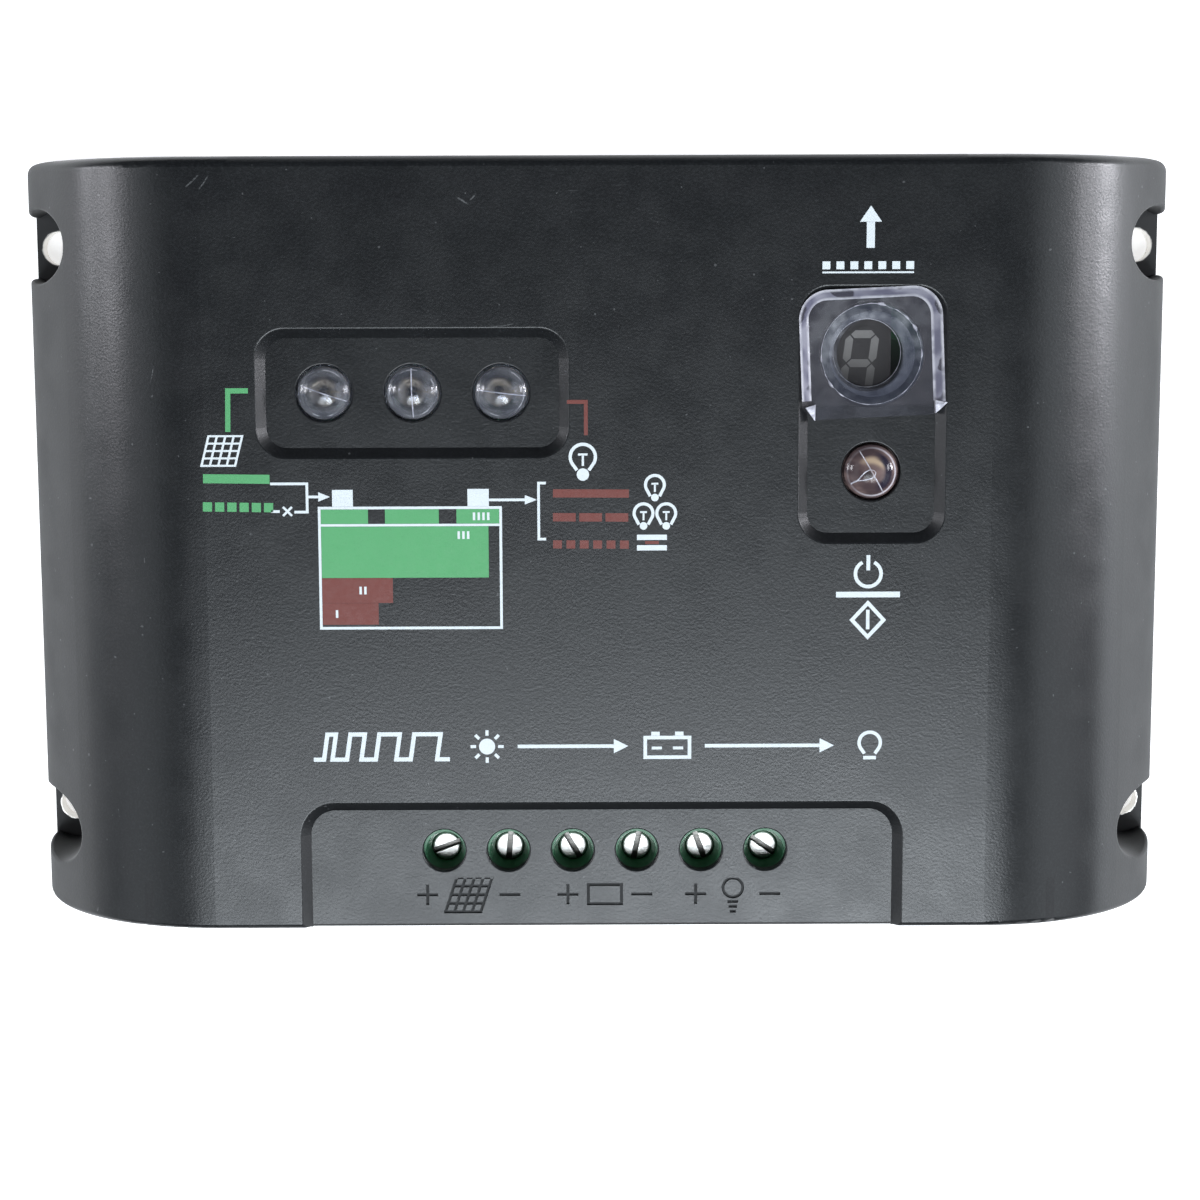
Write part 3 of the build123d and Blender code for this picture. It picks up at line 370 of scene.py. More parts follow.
def window_plastic():
    """The digit's window: clear over its flat top, its three flared sides painted pale lilac with a
    painted glow along their edges, and milky on the collar that reaches down to the digit, where the
    ring is painted lighter towards the top as painted light."""
    material, tree, shader = new_material("window_plastic", IOR=1.49)
    place = position(tree)
    _, y, z = axes_of(tree, place)[:3]
    up = upward(tree)
    sloping = product(tree, ramp(tree, up, 0.35, 0.5), ramp(tree, up, 0.8, 0.95, 1.0, 0.0))
    in_plate = ramp(tree, z, (face_z - 1.13) * MM, (face_z - 1.08) * MM)
    above_cut = ramp(tree, y, (window_low.y + 2.1) * MM, (window_low.y + 2.3) * MM)
    side = product(tree, sloping, in_plate, above_cut)
    middle_z = (face_z - 1.1 + window_high.z) / 2
    off_middle = calc(tree, "ABSOLUTE", calc(tree, "SUBTRACT", z, middle_z * MM))
    # painted glow: the flared sides are painted pale lilac and nearly opaque, turning almost white along
    # their upper and lower edges
    edge = ramp(tree, off_middle, 0.22 * MM, 0.56 * MM)
    drift = noise(tree, place, 2.6, 1.0)
    dark_patch = ramp(tree, noise(tree, place, 2.4, 1.0), 0.55, 0.62)
    body = mix(tree, ramp(tree, drift, 0.35, 0.65), rgb(0.24, 0.24, 0.34), rgb(0.60, 0.60, 0.71))
    body = mix(tree, dark_patch, body, rgb(0.07, 0.07, 0.10))
    glow = product(tree, edge, ramp(tree, noise(tree, place, 1.7, 2.0), 0.35, 0.6, 0.45, 1.0))
    painted_edge_glow = mix(tree, glow, body, rgb(0.93, 0.93, 1.0))
    distance, dx, dy = from_centre(tree, place, digit_hole)
    below = ramp(tree, z, (face_z - 1.12) * MM, (face_z - 1.05) * MM, 1.0, 0.0)
    near_hole = ramp(tree, distance, collar_radius * MM, (collar_radius + 0.12) * MM, 1.0, 0.0)
    seen_bore = digit_hole - Vector((0.5, 0.1, 0))
    past_bore = ramp(tree, from_centre(tree, place, seen_bore)[0],
                     (bore_radius + 0.12) * MM, (bore_radius + 0.2) * MM)
    wall = ramp(tree, distance, (bore_radius - 0.05) * MM, (bore_radius + 0.05) * MM)
    collar = greater(tree, product(tree, wall, below), product(tree, near_hole, past_bore))
    swirl = noise(tree, place, 1.9, 2.0)
    towards_top = calc(tree, "SUBTRACT", dy, product(tree, dx, 0.4))
    # painted light: the collar's ring is painted lighter towards the top
    lit = ramp(tree, towards_top, -5.0 * MM, 6.0 * MM, 0.12, 1.0)
    ring = mix(tree, product(tree, ramp(tree, swirl, 0.35, 0.65), lit), rgb(0.10, 0.11, 0.15),
               rgb(0.50, 0.52, 0.57))
    sheet = mix(tree, ramp(tree, drift, 0.35, 0.65), rgb(0.090, 0.085, 0.095), rgb(0.115, 0.108, 0.12))
    colour = mix(tree, collar, mix(tree, side, sheet, painted_edge_glow), ring)
    over_digit = ramp(tree, distance, 4.3 * MM, 4.9 * MM)
    on_plate = ramp(tree, y, (window_low.y + 1.6) * MM, (window_low.y + 1.9) * MM, 0.35, 1.0)
    sheet_alpha = product(tree, ramp(tree, drift, 0.3, 0.7, 0.22, 0.26), over_digit, on_plate)
    ring_alpha = product(tree, collar, ramp(tree, swirl, 0.35, 0.7, 0.22, 0.36))
    side_alpha = product(tree, side, ramp(tree, glow, 0.0, 1.0, 0.78, 0.96))
    alpha = greater(tree, calc(tree, "ADD", sheet_alpha, 0.025), ring_alpha)
    alpha = greater(tree, alpha, side_alpha)
    rough = ramp(tree, noise(tree, place, 1.2, 2.0), 0.3, 0.7, 0.08, 0.16)
    connect(tree, shader, colour, rough, bump(tree, noise(tree, place, 1.6, 1.0), 0.02), alpha)
    return material


button_ridge_degrees = -60


def button_plastic():
    """Tinted clear button: mauve at the side, with a painted warm highlight above the middle, painted
    shade in a crescent to the right, a painted highlight in a ring round the dome that is brightest
    to the right, a painted highlight along a ridge across it, and a dark pip."""
    material, tree, shader = new_material("button_plastic", IOR=1.49, Specular_IOR_Level=0.1)
    place = position(tree)
    distance, dx, dy = from_centre(tree, place, middle_mm("mode_button"))
    swirl = noise(tree, stretched(tree, place, -58.0, 2.2), 1.7, 2.0)
    mauve = mix(tree, ramp(tree, swirl, 0.35, 0.65), rgb(0.10, 0.070, 0.075), rgb(0.25, 0.175, 0.165))
    # painted highlight: a warm patch above the middle of the dome
    across = calc(tree, "ADD", product(tree, dx, 0.25), product(tree, dy, 0.97))
    warm_highlight_area = product(tree, ramp(tree, across, 0.45 * MM, 1.3 * MM),
                        band(tree, distance, 1.35, 0.1, 0.6))
    warm_highlight = mix(tree, warm_highlight_area, mauve, rgb(0.62, 0.47, 0.33))
    shade = product(tree, band(tree, distance, 1.95, 0.2, 0.45), ramp(tree, dx, 0.0, 1.4 * MM))
    deep = mix(tree, shade, warm_highlight, rgb(0.035, 0.03, 0.05))
    sideways = calc(tree, "SUBTRACT", dx, product(tree, dy, 0.35))
    # painted highlight: a pale ring round the dome, brighter to the right, where less light goes through
    rim_highlight = product(tree, band(tree, distance, 2.78, 0.04, 0.12),
                  ramp(tree, sideways, -2.8 * MM, 2.4 * MM, 0.12, 0.85))
    pip = from_centre(tree, place, middle_mm("mode_button") + Vector((-0.45, -0.28, 0)))[0]
    deep = mix(tree, ramp(tree, pip, 0.35 * MM, 0.6 * MM, 0.8, 0.0), deep, rgb(0.05, 0.045, 0.05))
    ridge_turn = math.radians(button_ridge_degrees)
    off_ridge = calc(tree, "ADD", product(tree, dx, -math.sin(ridge_turn)),
                     product(tree, dy, math.cos(ridge_turn)))
    # painted highlight along the ridge, joined to the ring's
    ridge = product(tree, band(tree, off_ridge, 0.0, 0.05, 0.06),
                    ramp(tree, distance, 2.5 * MM, 3.0 * MM, 0.45, 0.0))
    rim_highlight = greater(tree, rim_highlight, ridge)
    colour = mix(tree, rim_highlight, deep, rgb(0.60, 0.57, 0.61))
    connect(tree, shader, colour, ramp(tree, noise(tree, place, 0.8), 0.35, 0.7, 0.12, 0.20),
            bump(tree, noise(tree, place, 2.2, 0.0), 0.008))
    tree.links.new(ramp(tree, rim_highlight, 0.0, 1.0, 0.35, 0.0), shader.inputs["Transmission Weight"])
    return material


def segment_plastic():
    """Translucent grey of the digit's bars, dimmer towards the lower end of the digit."""
    material, tree, shader = new_material("segment")
    place = position(tree)
    y = axes_of(tree, place)[1]
    low, high = box_mm("digit_segments")
    fade = ramp(tree, y, low.y * MM, high.y * MM, 0.25, 1.0)
    pale = mix(tree, noise(tree, place, 0.7, 2.0), rgb(0.185, 0.178, 0.172), rgb(0.245, 0.236, 0.23))
    connect(tree, shader, mix(tree, fade, rgb(0.055, 0.052, 0.05), pale),
            ramp(tree, noise(tree, place, 0.5), 0.3, 0.7, 0.4, 0.55),
            bump(tree, noise(tree, place, 0.2), 0.004))
    return material


def ink(name, colour, worn):
    """Screen-printed ink: slightly uneven cover, with pinholes where the grain shows through."""
    material, tree, shader = new_material(name)
    place = position(tree)
    cover = ramp(tree, noise(tree, place, 0.25, 2.0, 0.6), 0.30, 0.42, 0.7, 1.0)
    patch = ramp(tree, noise(tree, place, 2.5, 2.0), 0.3, 0.7, 0.9, 1.0)
    shade = mix(tree, product(tree, cover, patch), worn, colour)
    connect(tree, shader, shade, ramp(tree, noise(tree, place, 0.6), 0.3, 0.7, 0.42, 0.55),
            bump(tree, noise(tree, place, 0.34, 2.0), 0.012))
    return material


white_ink = ink("white_ink", rgb(0.66, 0.72, 0.75), rgb(0.42, 0.455, 0.47))
green_ink = ink("green_ink", rgb(0.075, 0.335, 0.125), rgb(0.055, 0.25, 0.095))
red_ink = ink("red_ink", rgb(0.145, 0.026, 0.018), rgb(0.10, 0.022, 0.017))

zinc = turned_metal("zinc", rgb(0.68, 0.68, 0.67), rgb(0.42, 0.41, 0.39), (0.28, 0.42))
screw_tops = box_mm("solar_plus_screw")[1].z
nickel = turned_metal("nickel", rgb(0.80, 0.79, 0.76), rgb(0.48, 0.465, 0.43), (0.36, 0.50), 0.4,
                      screw_tops)
brass = turned_metal("brass", rgb(0.76, 0.56, 0.25), rgb(0.42, 0.29, 0.13), (0.25, 0.42), 0.5)
copper = turned_metal("copper", rgb(0.80, 0.42, 0.26), rgb(0.42, 0.20, 0.12), (0.28, 0.42), 0.5)
die_silver = turned_metal("die_silver", rgb(0.64, 0.55, 0.40), rgb(0.36, 0.30, 0.20), (0.4, 0.55), 0.4)
die_dark = grained("die_dark", rgb(0.02, 0.018, 0.022), rgb(0.045, 0.04, 0.045), (0.2, 0.35), 0.1,
                   0.005, 0.4)

slot_materials = {
    "case_plastic": case_plastic(),
    "black_plate": plate_paint(),
    "dark_screw": turned_metal("dark_screw", rgb(0.05, 0.05, 0.055), rgb(0.12, 0.11, 0.10), (0.35, 0.5)),
    "steel_screw": zinc,
    "nickel": nickel,
    "brass": brass,
    "pad": pad_rubber(),
    "epoxy": grained("epoxy", rgb(0.012, 0.012, 0.013), rgb(0.022, 0.022, 0.024),
                     (0.5, 0.65), 0.15, 0.02),
    "board": board_mask(),
    "black_plastic": grained("black_plastic", rgb(0.012, 0.012, 0.012), rgb(0.02, 0.02, 0.021),
                             (0.3, 0.42), 0.4, 0.015),
    "brown_plastic": grained("brown_plastic", rgb(0.17, 0.075, 0.055), rgb(0.24, 0.11, 0.08),
                             (0.3, 0.42), 0.4, 0.015, 2.0),
    "capacitor_sleeve": capacitor_sleeve(),
    "copper_wire": copper,
    "clear_plastic": clear_moulding("clear_plastic", rgb(0.90, 0.90, 0.95), (0.02, 0.07), 0.02),
    "clear_epoxy": clear_moulding("clear_epoxy", rgb(0.95, 0.91, 0.83), (0.12, 0.20), 0.02),
    "segment": segment_plastic(),
    "digit_body": grained("digit_body", rgb(0.012, 0.0095, 0.0105), rgb(0.018, 0.0145, 0.0155),
                          (0.4, 0.5), 0.3, 0.01, 2.0),
    "terminal_green": grained("terminal_green", rgb(0.045, 0.165, 0.085), rgb(0.065, 0.22, 0.115),
                              (0.32, 0.45), 0.5, 0.02, 3.0),
}
node_materials = {"display_window": window_plastic(), "mode_button": button_plastic()}
for turn, name in enumerate(("solar", "battery", "load")):
    node_materials[f"{name}_lens"] = lens_plastic(name, 35.0 + 70.0 * turn)

for part in frame["record"]["subparts"]:
    shown = frame["nodes"][part["node"]]
    shown.data.materials.clear()
    shown.data.materials.append(
        node_materials.get(part["node"]) or slot_materials[part["material_slot"]]
    )


# ------------------------------------------------------------------ mesh helpers
def finish_piece(name, shape, material, body, smooth=False):
    """Turn a bmesh into a named piece that rides on a body."""
    bmesh.ops.recalc_face_normals(shape, faces=shape.faces)
    mesh = bpy.data.meshes.new(name)
    for face in shape.faces:
        face.smooth = smooth
    shape.to_mesh(mesh)
    shape.free()
    mesh.materials.append(material)
    piece = bpy.data.objects.new(name, mesh)
    bpy.context.scene.collection.objects.link(piece)
    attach(piece, body)
    return piece


def layer(name, outlines, material, bottom=None, top=None):
    """A thin printed layer on the face. Outlines that share points grow together."""
    bottom = face_z - 0.02 if bottom is None else bottom
    top = face_z + 0.02 if top is None else top
    shape = bmesh.new()
    for outline in outlines:
        shape.faces.new([shape.verts.new((x * MM, y * MM, bottom * MM)) for x, y in outline])
    bmesh.ops.remove_doubles(shape, verts=shape.verts, dist=1e-6)
    grown = bmesh.ops.extrude_face_region(shape, geom=shape.faces[:])
    lifted = [v for v in grown["geom"] if isinstance(v, bmesh.types.BMVert)]
    bmesh.ops.translate(shape, verts=lifted, vec=(0, 0, (top - bottom) * MM))
    return finish_piece(name, shape, material, "controller")


def stroke(points, width, closed=False):
    """Quads that follow a line of points with mitred corners."""
    count = len(points)
    sides = []
    for i in range(count):
        here = Vector(points[i])
        ways = []
        if i > 0 or closed:
            ways.append((here - Vector(points[i - 1])).normalized())
        if i < count - 1 or closed:
            ways.append((Vector(points[(i + 1) % count]) - here).normalized())
        along = sum(ways, Vector((0, 0))).normalized()
        across = Vector((-along.y, along.x))
        reach = width / 2 / max(0.35, abs(along.dot(ways[0])))
        sides.append((tuple(here + across * reach), tuple(here - across * reach)))
    pairs = zip(sides, sides[1:] + sides[:1] if closed else sides[1:])
    return [(a[0], a[1], b[1], b[0]) for a, b in pairs]


def bar(x0, y0, x1, y1):
    return [(x0, y0), (x1, y0), (x1, y1), (x0, y1)]


def arc(cx, cy, radius, start, end, steps=20):
    angles = [math.radians(start + (end - start) * i / steps) for i in range(steps + 1)]
    return [(cx + radius * math.cos(a), cy + radius * math.sin(a)) for a in angles]


def disc(cx, cy, radius, steps=24):
    return [arc(cx, cy, radius, 0, 360 - 360 / steps, steps - 1)]


def tilted(outlines, degrees, about):
    """Outlines turned a little, as the printing screen was."""
    c, s = math.cos(math.radians(degrees)), math.sin(math.radians(degrees))
    ax, ay = about
    return [[(ax + (x - ax) * c - (y - ay) * s, ay + (x - ax) * s + (y - ay) * c) for x, y in outline]
            for outline in outlines]


def arrow(x0, x1, y, stem, head_length, head_half):
    """Arrow from x0 to x1 along +X."""
    neck = x1 - head_length
    return [bar(x0, y - stem / 2, neck, y + stem / 2),
            [(neck, y - head_half), (x1, y), (neck, y + head_half)]]


def bulb(cx, top, width, height, line):
    """Outline of a lamp: a round top that narrows to a neck."""
    radius = width / 2 - line / 2
    cy = top - line / 2 - radius
    neck = width * 0.21
    bottom = top - height
    shoulder = arc(cx, cy, radius, -35, 215, 24)
    outline = [(cx + neck, bottom)] + shoulder + [(cx - neck, bottom)]
    return stroke(outline, line)


# ------------------------------------------------------------------ printing on the face
line = 0.31

# solar side: link to the lamps, the panel, and its bars
layer("print_solar_link", stroke([(-42.8, 13.83), (-42.7, 18.55), (-40.38, 18.55)], 0.6), green_ink)


def cell_grid(corners, count, line_share):
    """Parallelogram ruled into count x count cells; its corners run anticlockwise from low-left."""
    a, b, c, d = [Vector(p) for p in corners]
    steps = [0.0]
    cell = (1 - (count + 1) * line_share) / count
    for i in range(count):
        steps += [steps[-1] + line_share, steps[-1] + line_share + cell]
    steps.append(1.0)

    def at(u, v):
        low, high = a.lerp(b, u), d.lerp(c, u)
        return tuple(low.lerp(high, v))

    return [[at(steps[i], steps[j]), at(steps[i + 1], steps[j]), at(steps[i + 1], steps[j + 1]),
             at(steps[i], steps[j + 1])]
            for i in range(2 * count + 1) for j in range(2 * count + 1) if i % 2 == 0 or j % 2 == 0]


panel_corners = [(-46.1, 9.8), (-41.95, 9.8), (-41.0, 13.45), (-45.15, 13.45)]
layer("print_solar_panel", cell_grid(panel_corners, 4, 0.062), white_ink)
layer("print_charge_bar", tilted([bar(-45.8, 7.85, -38.1, 8.9)], -0.7, (-42, 8.4)), green_ink)
layer("print_charge_dashes", tilted([bar(-45.9 + 1.418 * i, 4.55, -45.9 + 1.418 * i + 1.06, 5.63)
                                     for i in range(6)], -0.9, (-42, 5.1)), green_ink)
fork = (stroke([(-38.05, 7.79), (-33.8, 7.79), (-33.8, 4.5), (-35.3, 4.5)], line)
        + arrow(-33.64, -31.15, 6.26, line, 1.35, 0.55)
        + [bar(-38.0, 4.42, -37.0, 4.73)])
layer("print_charge_fork", fork, white_ink)
cross_x, cross_y, cross_arm = -36.1, 4.58, 0.52
cross_ends = (cross_x - cross_arm, cross_x + cross_arm)
layer("print_cross", stroke([(cross_ends[0], cross_y - cross_arm), (cross_ends[1], cross_y + cross_arm)],
                            0.27), white_ink)
layer("print_cross_back", stroke([(cross_ends[0], cross_y + cross_arm),
                                  (cross_ends[1], cross_y - cross_arm)], 0.27),
      white_ink, face_z - 0.02, face_z + 0.016)

# battery: outline, terminals and the bands of its charge
left, right, top, low = -32.42, -11.37, 4.95, -9.13
layer("print_battery_outline", stroke([(left, low), (right, low), (right, top), (left, top)], line, True)
      + [bar(left + line / 2, 2.8, right - line / 2, 3.08)], white_ink)
layer("print_battery_terminals", [bar(-30.9, 5.12, -28.5, 7.07), bar(-15.2, 5.12, -12.72, 7.13)], white_ink)
inside = left + line / 2 + 0.02
layer("print_battery_full", [bar(inside, 3.1, -26.77, 4.78), bar(-24.8, 3.1, -18.55, 4.78),
                             bar(-16.5, 3.1, right - line / 2 - 0.02, 4.78)], green_ink)
layer("print_battery_normal", [bar(inside, -3.22, -12.8, 2.78)], green_ink)
layer("print_battery_low", [bar(inside, -6.17, -24.0, -3.24), bar(inside, -8.72, -25.7, -6.19)], red_ink)

# level marks in place of words: one to four small bars
for count, x, y in ((4, -14.6, 3.94), (3, -16.4, 1.75), (2, -27.9, -4.7), (1, -30.7, -7.45)):
    marks = [bar(x + 0.55 * i, y - 0.45, x + 0.55 * i + 0.28, y + 0.45) for i in range(count)]
    layer(f"print_level_{count}", marks, white_ink, face_z - 0.02, face_z + 0.03)

# load side: bracket, bars and lamps
layer("print_load_arrow", arrow(-12.7, -7.15, 5.84, line, 1.4, 0.55), white_ink)
layer("print_load_bracket", stroke([(-6.1, 7.78), (-6.95, 7.78), (-6.95, 1.25), (-6.1, 1.25)], line),
      white_ink)
layer("print_load_bar", tilted([bar(-5.28, 6.07, 3.53, 7.03)], -0.4, (-1, 6.5)), red_ink)
layer("print_load_dashes", tilted([bar(-5.3 + 3.05 * i, 3.28, -2.65 + 3.05 * i, 4.26) for i in range(3)],
                                  -0.4, (-1, 3.8)), red_ink)
layer("print_load_dots", tilted([bar(-5.3 + 1.555 * i, 0.12, -4.27 + 1.555 * i, 1.08) for i in range(6)],
                                -0.4, (-1, 0.6)), red_ink)
layer("print_load_link", stroke([(-3.61, 17.15), (-1.43, 17.15), (-1.43, 13.3)], 0.45), red_ink)
layer("print_lamp_large", bulb(-1.8, 12.45, 3.3, 3.2, 0.38), white_ink)
layer("print_lamp_large_cap", disc(-1.8, 8.75, 0.72), white_ink)
layer("print_lamp_large_wire", [bar(-2.35, 10.95, -1.25, 11.2), bar(-1.93, 9.75, -1.67, 10.93)],
      white_ink)
for index, (x, top_y) in enumerate(((6.54, 8.8), (5.22, 5.5), (7.86, 5.5)), 1):
    layer(f"print_lamp_{index}", bulb(x, top_y, 2.55, 2.6, 0.36), white_ink)
    layer(f"print_lamp_{index}_cap", disc(x, top_y - 2.75, 0.45, 16), white_ink)
    layer(f"print_lamp_{index}_wire", [bar(x - 0.4, top_y - 1.25, x + 0.4, top_y - 1.03),
                                       bar(x - 0.11, top_y - 2.1, x + 0.11, top_y - 1.27)], white_ink)
layer("print_load_off", [bar(4.45, 1.1, 7.94, 1.72), bar(4.45, -0.12, 7.94, 0.5)], white_ink)
layer("print_load_off_mark", [bar(5.4, 0.62, 7.0, 0.98)], red_ink)

# above and below the digit: arrow, power mark, rule and start mark
mode_x = 31.25
layer("print_mode_arrow", [bar(mode_x - 0.47, 34.62, mode_x + 0.47, 37.56),
                           [(mode_x - 1.26, 37.58), (mode_x + 1.26, 37.58), (mode_x, 39.4)]], white_ink)
layer("print_mode_steps", [bar(mode_x - 5.5 + 1.6 * i, 32.2, mode_x - 5.5 + 1.6 * i + 0.9, 33.1)
                           for i in range(7)] + [bar(mode_x - 5.5, 31.75, mode_x + 5.0, 31.95)], white_ink)
power_x, power_y, power_r = 31.4, -2.95, 1.5
layer("print_power_ring", stroke(arc(power_x, power_y, power_r, 117, 423, 30), 0.42), white_ink)
layer("print_power_bar", [bar(power_x - 0.22, -2.55, power_x + 0.22, -0.75)], white_ink)
layer("print_rule", [bar(27.66, -5.72, 35.13, -5.05)], white_ink)
start_x, start_y = 31.4, -8.38
layer("print_start_diamond", stroke([(start_x - 1.85, start_y), (start_x, start_y - 2.0),
                                     (start_x + 1.85, start_y), (start_x, start_y + 2.0)], 0.44, True),
      white_ink)
layer("print_start_bar", [bar(start_x - 0.2, start_y - 1.1, start_x + 0.2, start_y + 1.2)], white_ink)

# lower row in place of the title: a train of pulses, then sun, battery and lamp with arrows between
base, crest = -24.75, -21.75
pulse = [(-33.6, base)]
for start, width in ((-32.4, 1.0), (-29.7, 1.7), (-26.3, 2.4), (-22.2, 3.1)):
    pulse += [(start, base), (start + 0.45, crest), (start + 0.45 + width, crest), (start + width, base)]
pulse.append((-17.6, base))
layer("print_pulses", stroke(pulse, 0.5), white_ink)

row_y = (base + crest) / 2
sun_x, cell_x, lamp_x = -13.2, 8.0, 31.8
rays = []
for i in range(8):
    turn = math.radians(45 * i)
    ray = [(sun_x + r * math.cos(turn), row_y + r * math.sin(turn)) for r in (1.3, 1.95)]
    rays += stroke(ray, 0.36)
layer("print_sun", disc(sun_x, row_y, 0.95) + rays, white_ink)
layer("print_row_arrow_1", arrow(-9.6, 3.4, row_y, 0.42, 1.7, 0.85), white_ink)
layer("print_cell", stroke([(cell_x - 2.6, base + 0.15), (cell_x + 2.6, base + 0.15),
                            (cell_x + 2.6, crest - 0.5), (cell_x - 2.6, crest - 0.5)], 0.42, True)
      + [bar(cell_x - 1.9, crest - 0.27, cell_x - 0.9, crest + 0.2),
         bar(cell_x + 0.9, crest - 0.27, cell_x + 1.9, crest + 0.2),
         bar(cell_x - 1.85, row_y - 0.42, cell_x - 0.65, row_y - 0.08),
         bar(cell_x + 0.65, row_y - 0.42, cell_x + 1.85, row_y - 0.08)], white_ink)
layer("print_row_arrow_2", arrow(12.4, 27.6, row_y, 0.42, 1.7, 0.85), white_ink)
layer("print_row_lamp", bulb(lamp_x, crest + 0.25, 2.9, 2.75, 0.4), white_ink)
layer("print_row_lamp_cap", [bar(lamp_x - 0.75, base - 0.2, lamp_x + 0.75, base + 0.22)], white_ink)


# ------------------------------------------------------------------ inside of the lamps
def tube(shape, points, radius, sides=10):
    """Round wire through the points, closed at both ends."""
    rings = []
    for i, point in enumerate(points):
        here = Vector(point)
        before = Vector(points[max(i - 1, 0)])
        after = Vector(points[min(i + 1, len(points) - 1)])
        frame_turn = (after - before).to_track_quat("Z", "Y").to_matrix()
        angles = [2 * math.pi * k / sides for k in range(sides)]
        ring = [Vector((radius * math.cos(a), radius * math.sin(a), 0)) for a in angles]
        rings.append([shape.verts.new((here + frame_turn @ spot) * MM) for spot in ring])
    for a, b in zip(rings, rings[1:]):
        for k in range(sides):
            shape.faces.new([a[k], a[(k + 1) % sides], b[(k + 1) % sides], b[k]])
    shape.faces.new(rings[0])
    shape.faces.new(rings[-1])


def turned(shape, centre, profile, steps=40):
    """Solid of revolution about a vertical axis; profile is (radius, z) pairs from axis to axis."""
    angles = [2 * math.pi * k / steps for k in range(steps)]
    rings = []
    for radius, z in profile:
        if radius == 0:
            rings.append([shape.verts.new((centre.x * MM, centre.y * MM, z * MM))])
        else:
            rings.append([shape.verts.new(((centre.x + radius * math.cos(a)) * MM,
                                           (centre.y + radius * math.sin(a)) * MM, z * MM))
                          for a in angles])
    for a, b in zip(rings, rings[1:]):
        for k in range(steps):
            corners = [a[k % len(a)], a[(k + 1) % len(a)], b[(k + 1) % len(b)], b[k % len(b)]]
            shape.faces.new(list(dict.fromkeys(corners)))


def lamp_inside(name):
    """Anvil with its cup, the post and the bond wire, cast inside the clear lamp."""
    centre = middle_mm(f"{name}_led")
    low, high = box_mm(f"{name}_led")
    level = high.z - 2.6
    anvil = bmesh.new()
    cup = Vector((centre.x - 0.25, centre.y, 0))
    turned(anvil, cup, [(0, level - 1.6), (0.75, level - 1.6), (1.15, level - 0.1), (1.15, level),
                        (0.75, level), (0.42, level - 0.42), (0, level - 0.42)])
    tube(anvil, [(centre.x - 1.27, centre.y, low.z + 5.0), (centre.x - 0.7, centre.y, level - 2.2),
                 (centre.x - 0.25, centre.y, level - 1.3)], 0.3)
    finish_piece(f"{name}_lamp_anvil", anvil, die_silver, "controller", True)
    die = bmesh.new()
    turned(die, cup, [(0, level - 0.41), (0.40, level - 0.41), (0.36, level - 0.2), (0, level - 0.2)], 8)
    finish_piece(f"{name}_lamp_die", die, die_dark, "controller")
    post = bmesh.new()
    tube(post, [(centre.x + 1.27, centre.y, low.z + 5.0), (centre.x + 1.27, centre.y, level - 0.5)], 0.3)
    turned(post, Vector((centre.x + 1.3, centre.y, 0)), [(0, level - 0.5), (0.42, level - 0.5),
                                                         (0.5, level - 0.05), (0, level - 0.05)])
    finish_piece(f"{name}_lamp_post", post, die_silver, "controller", True)
    wire = bmesh.new()
    span = 1.5
    tube(wire, [(centre.x - 0.25 + span * t, centre.y, level - 0.35 + 1.4 * t * (1 - t) + 0.3 * t)
                for t in (i / 8 for i in range(9))], 0.05, 6)
    finish_piece(f"{name}_lamp_wire", wire, brass, "controller", True)


for name in ("solar", "battery", "load"):
    lamp_inside(name)


# ------------------------------------------------------------------ moulding marks of the clear parts
def parting_ridge(name, centre, radius, crown, rise, degrees, body, material, height=0.05,
                  limit=None):
    """Fine ridge that the mould left across a dome of this crown height and rise."""
    dome = (radius ** 2 + rise ** 2) / (2 * rise)
    turn = Matrix.Rotation(math.radians(degrees), 3, "Z")
    half_width = 0.07
    steps = 24
    shape = bmesh.new()
    rings = []
    for i in range(steps + 1):
        along = radius * 0.93 * (2 * i / steps - 1)
        level = crown - dome + math.sqrt(dome ** 2 - along ** 2)
        taper = math.sqrt(max(0.0, 1 - (2 * i / steps - 1) ** 6))
        top = level + height * taper
        if limit is not None:
            top = min(top, limit)
        ring = [(-half_width, level - 0.06), (0, top), (half_width, level - 0.06), (0, level - 0.12)]
        rings.append([shape.verts.new((centre + turn @ Vector((along, side, 0)) + Vector((0, 0, z))) * MM)
                      for side, z in ring])
    for a, b in zip(rings, rings[1:]):
        for k in range(4):
            shape.faces.new([a[k], a[(k + 1) % 4], b[(k + 1) % 4], b[k]])
    shape.faces.new(rings[0])
    shape.faces.new(rings[-1])
    return finish_piece(name, shape, material, body)


# pale grey for the clear plastic's mould lines and flash: a painted highlight where they catch the light
flash_glint_plastic = grained("flash_glint_plastic", rgb(0.42, 0.42, 0.48), rgb(0.78, 0.78, 0.86), (0.2, 0.35),
                        0.3, 0.01, 0.8)
lens_shoulder = 26.9
lens_radius = 3.05
# the mould lines on the lenses and the button are pale, a painted highlight
for name, degrees in (("solar", -19), ("battery", 92), ("load", -7)):
    centre = middle_mm(f"{name}_lens")
    centre.z = 0
    parting_ridge(f"{name}_lens_ridge", centre, lens_radius, lens_tops[name],
                  lens_tops[name] - lens_shoulder, degrees, "controller", flash_glint_plastic)
button_centre = middle_mm("mode_button")
button_centre.z = 0
button_radius = 3.13
button_rise = button_high.z - lens_shoulder
parting_ridge("mode_button_ridge", button_centre, button_radius, button_high.z, button_rise,
              button_ridge_degrees, "mode_button", flash_glint_plastic, 0.05, button_high.z)


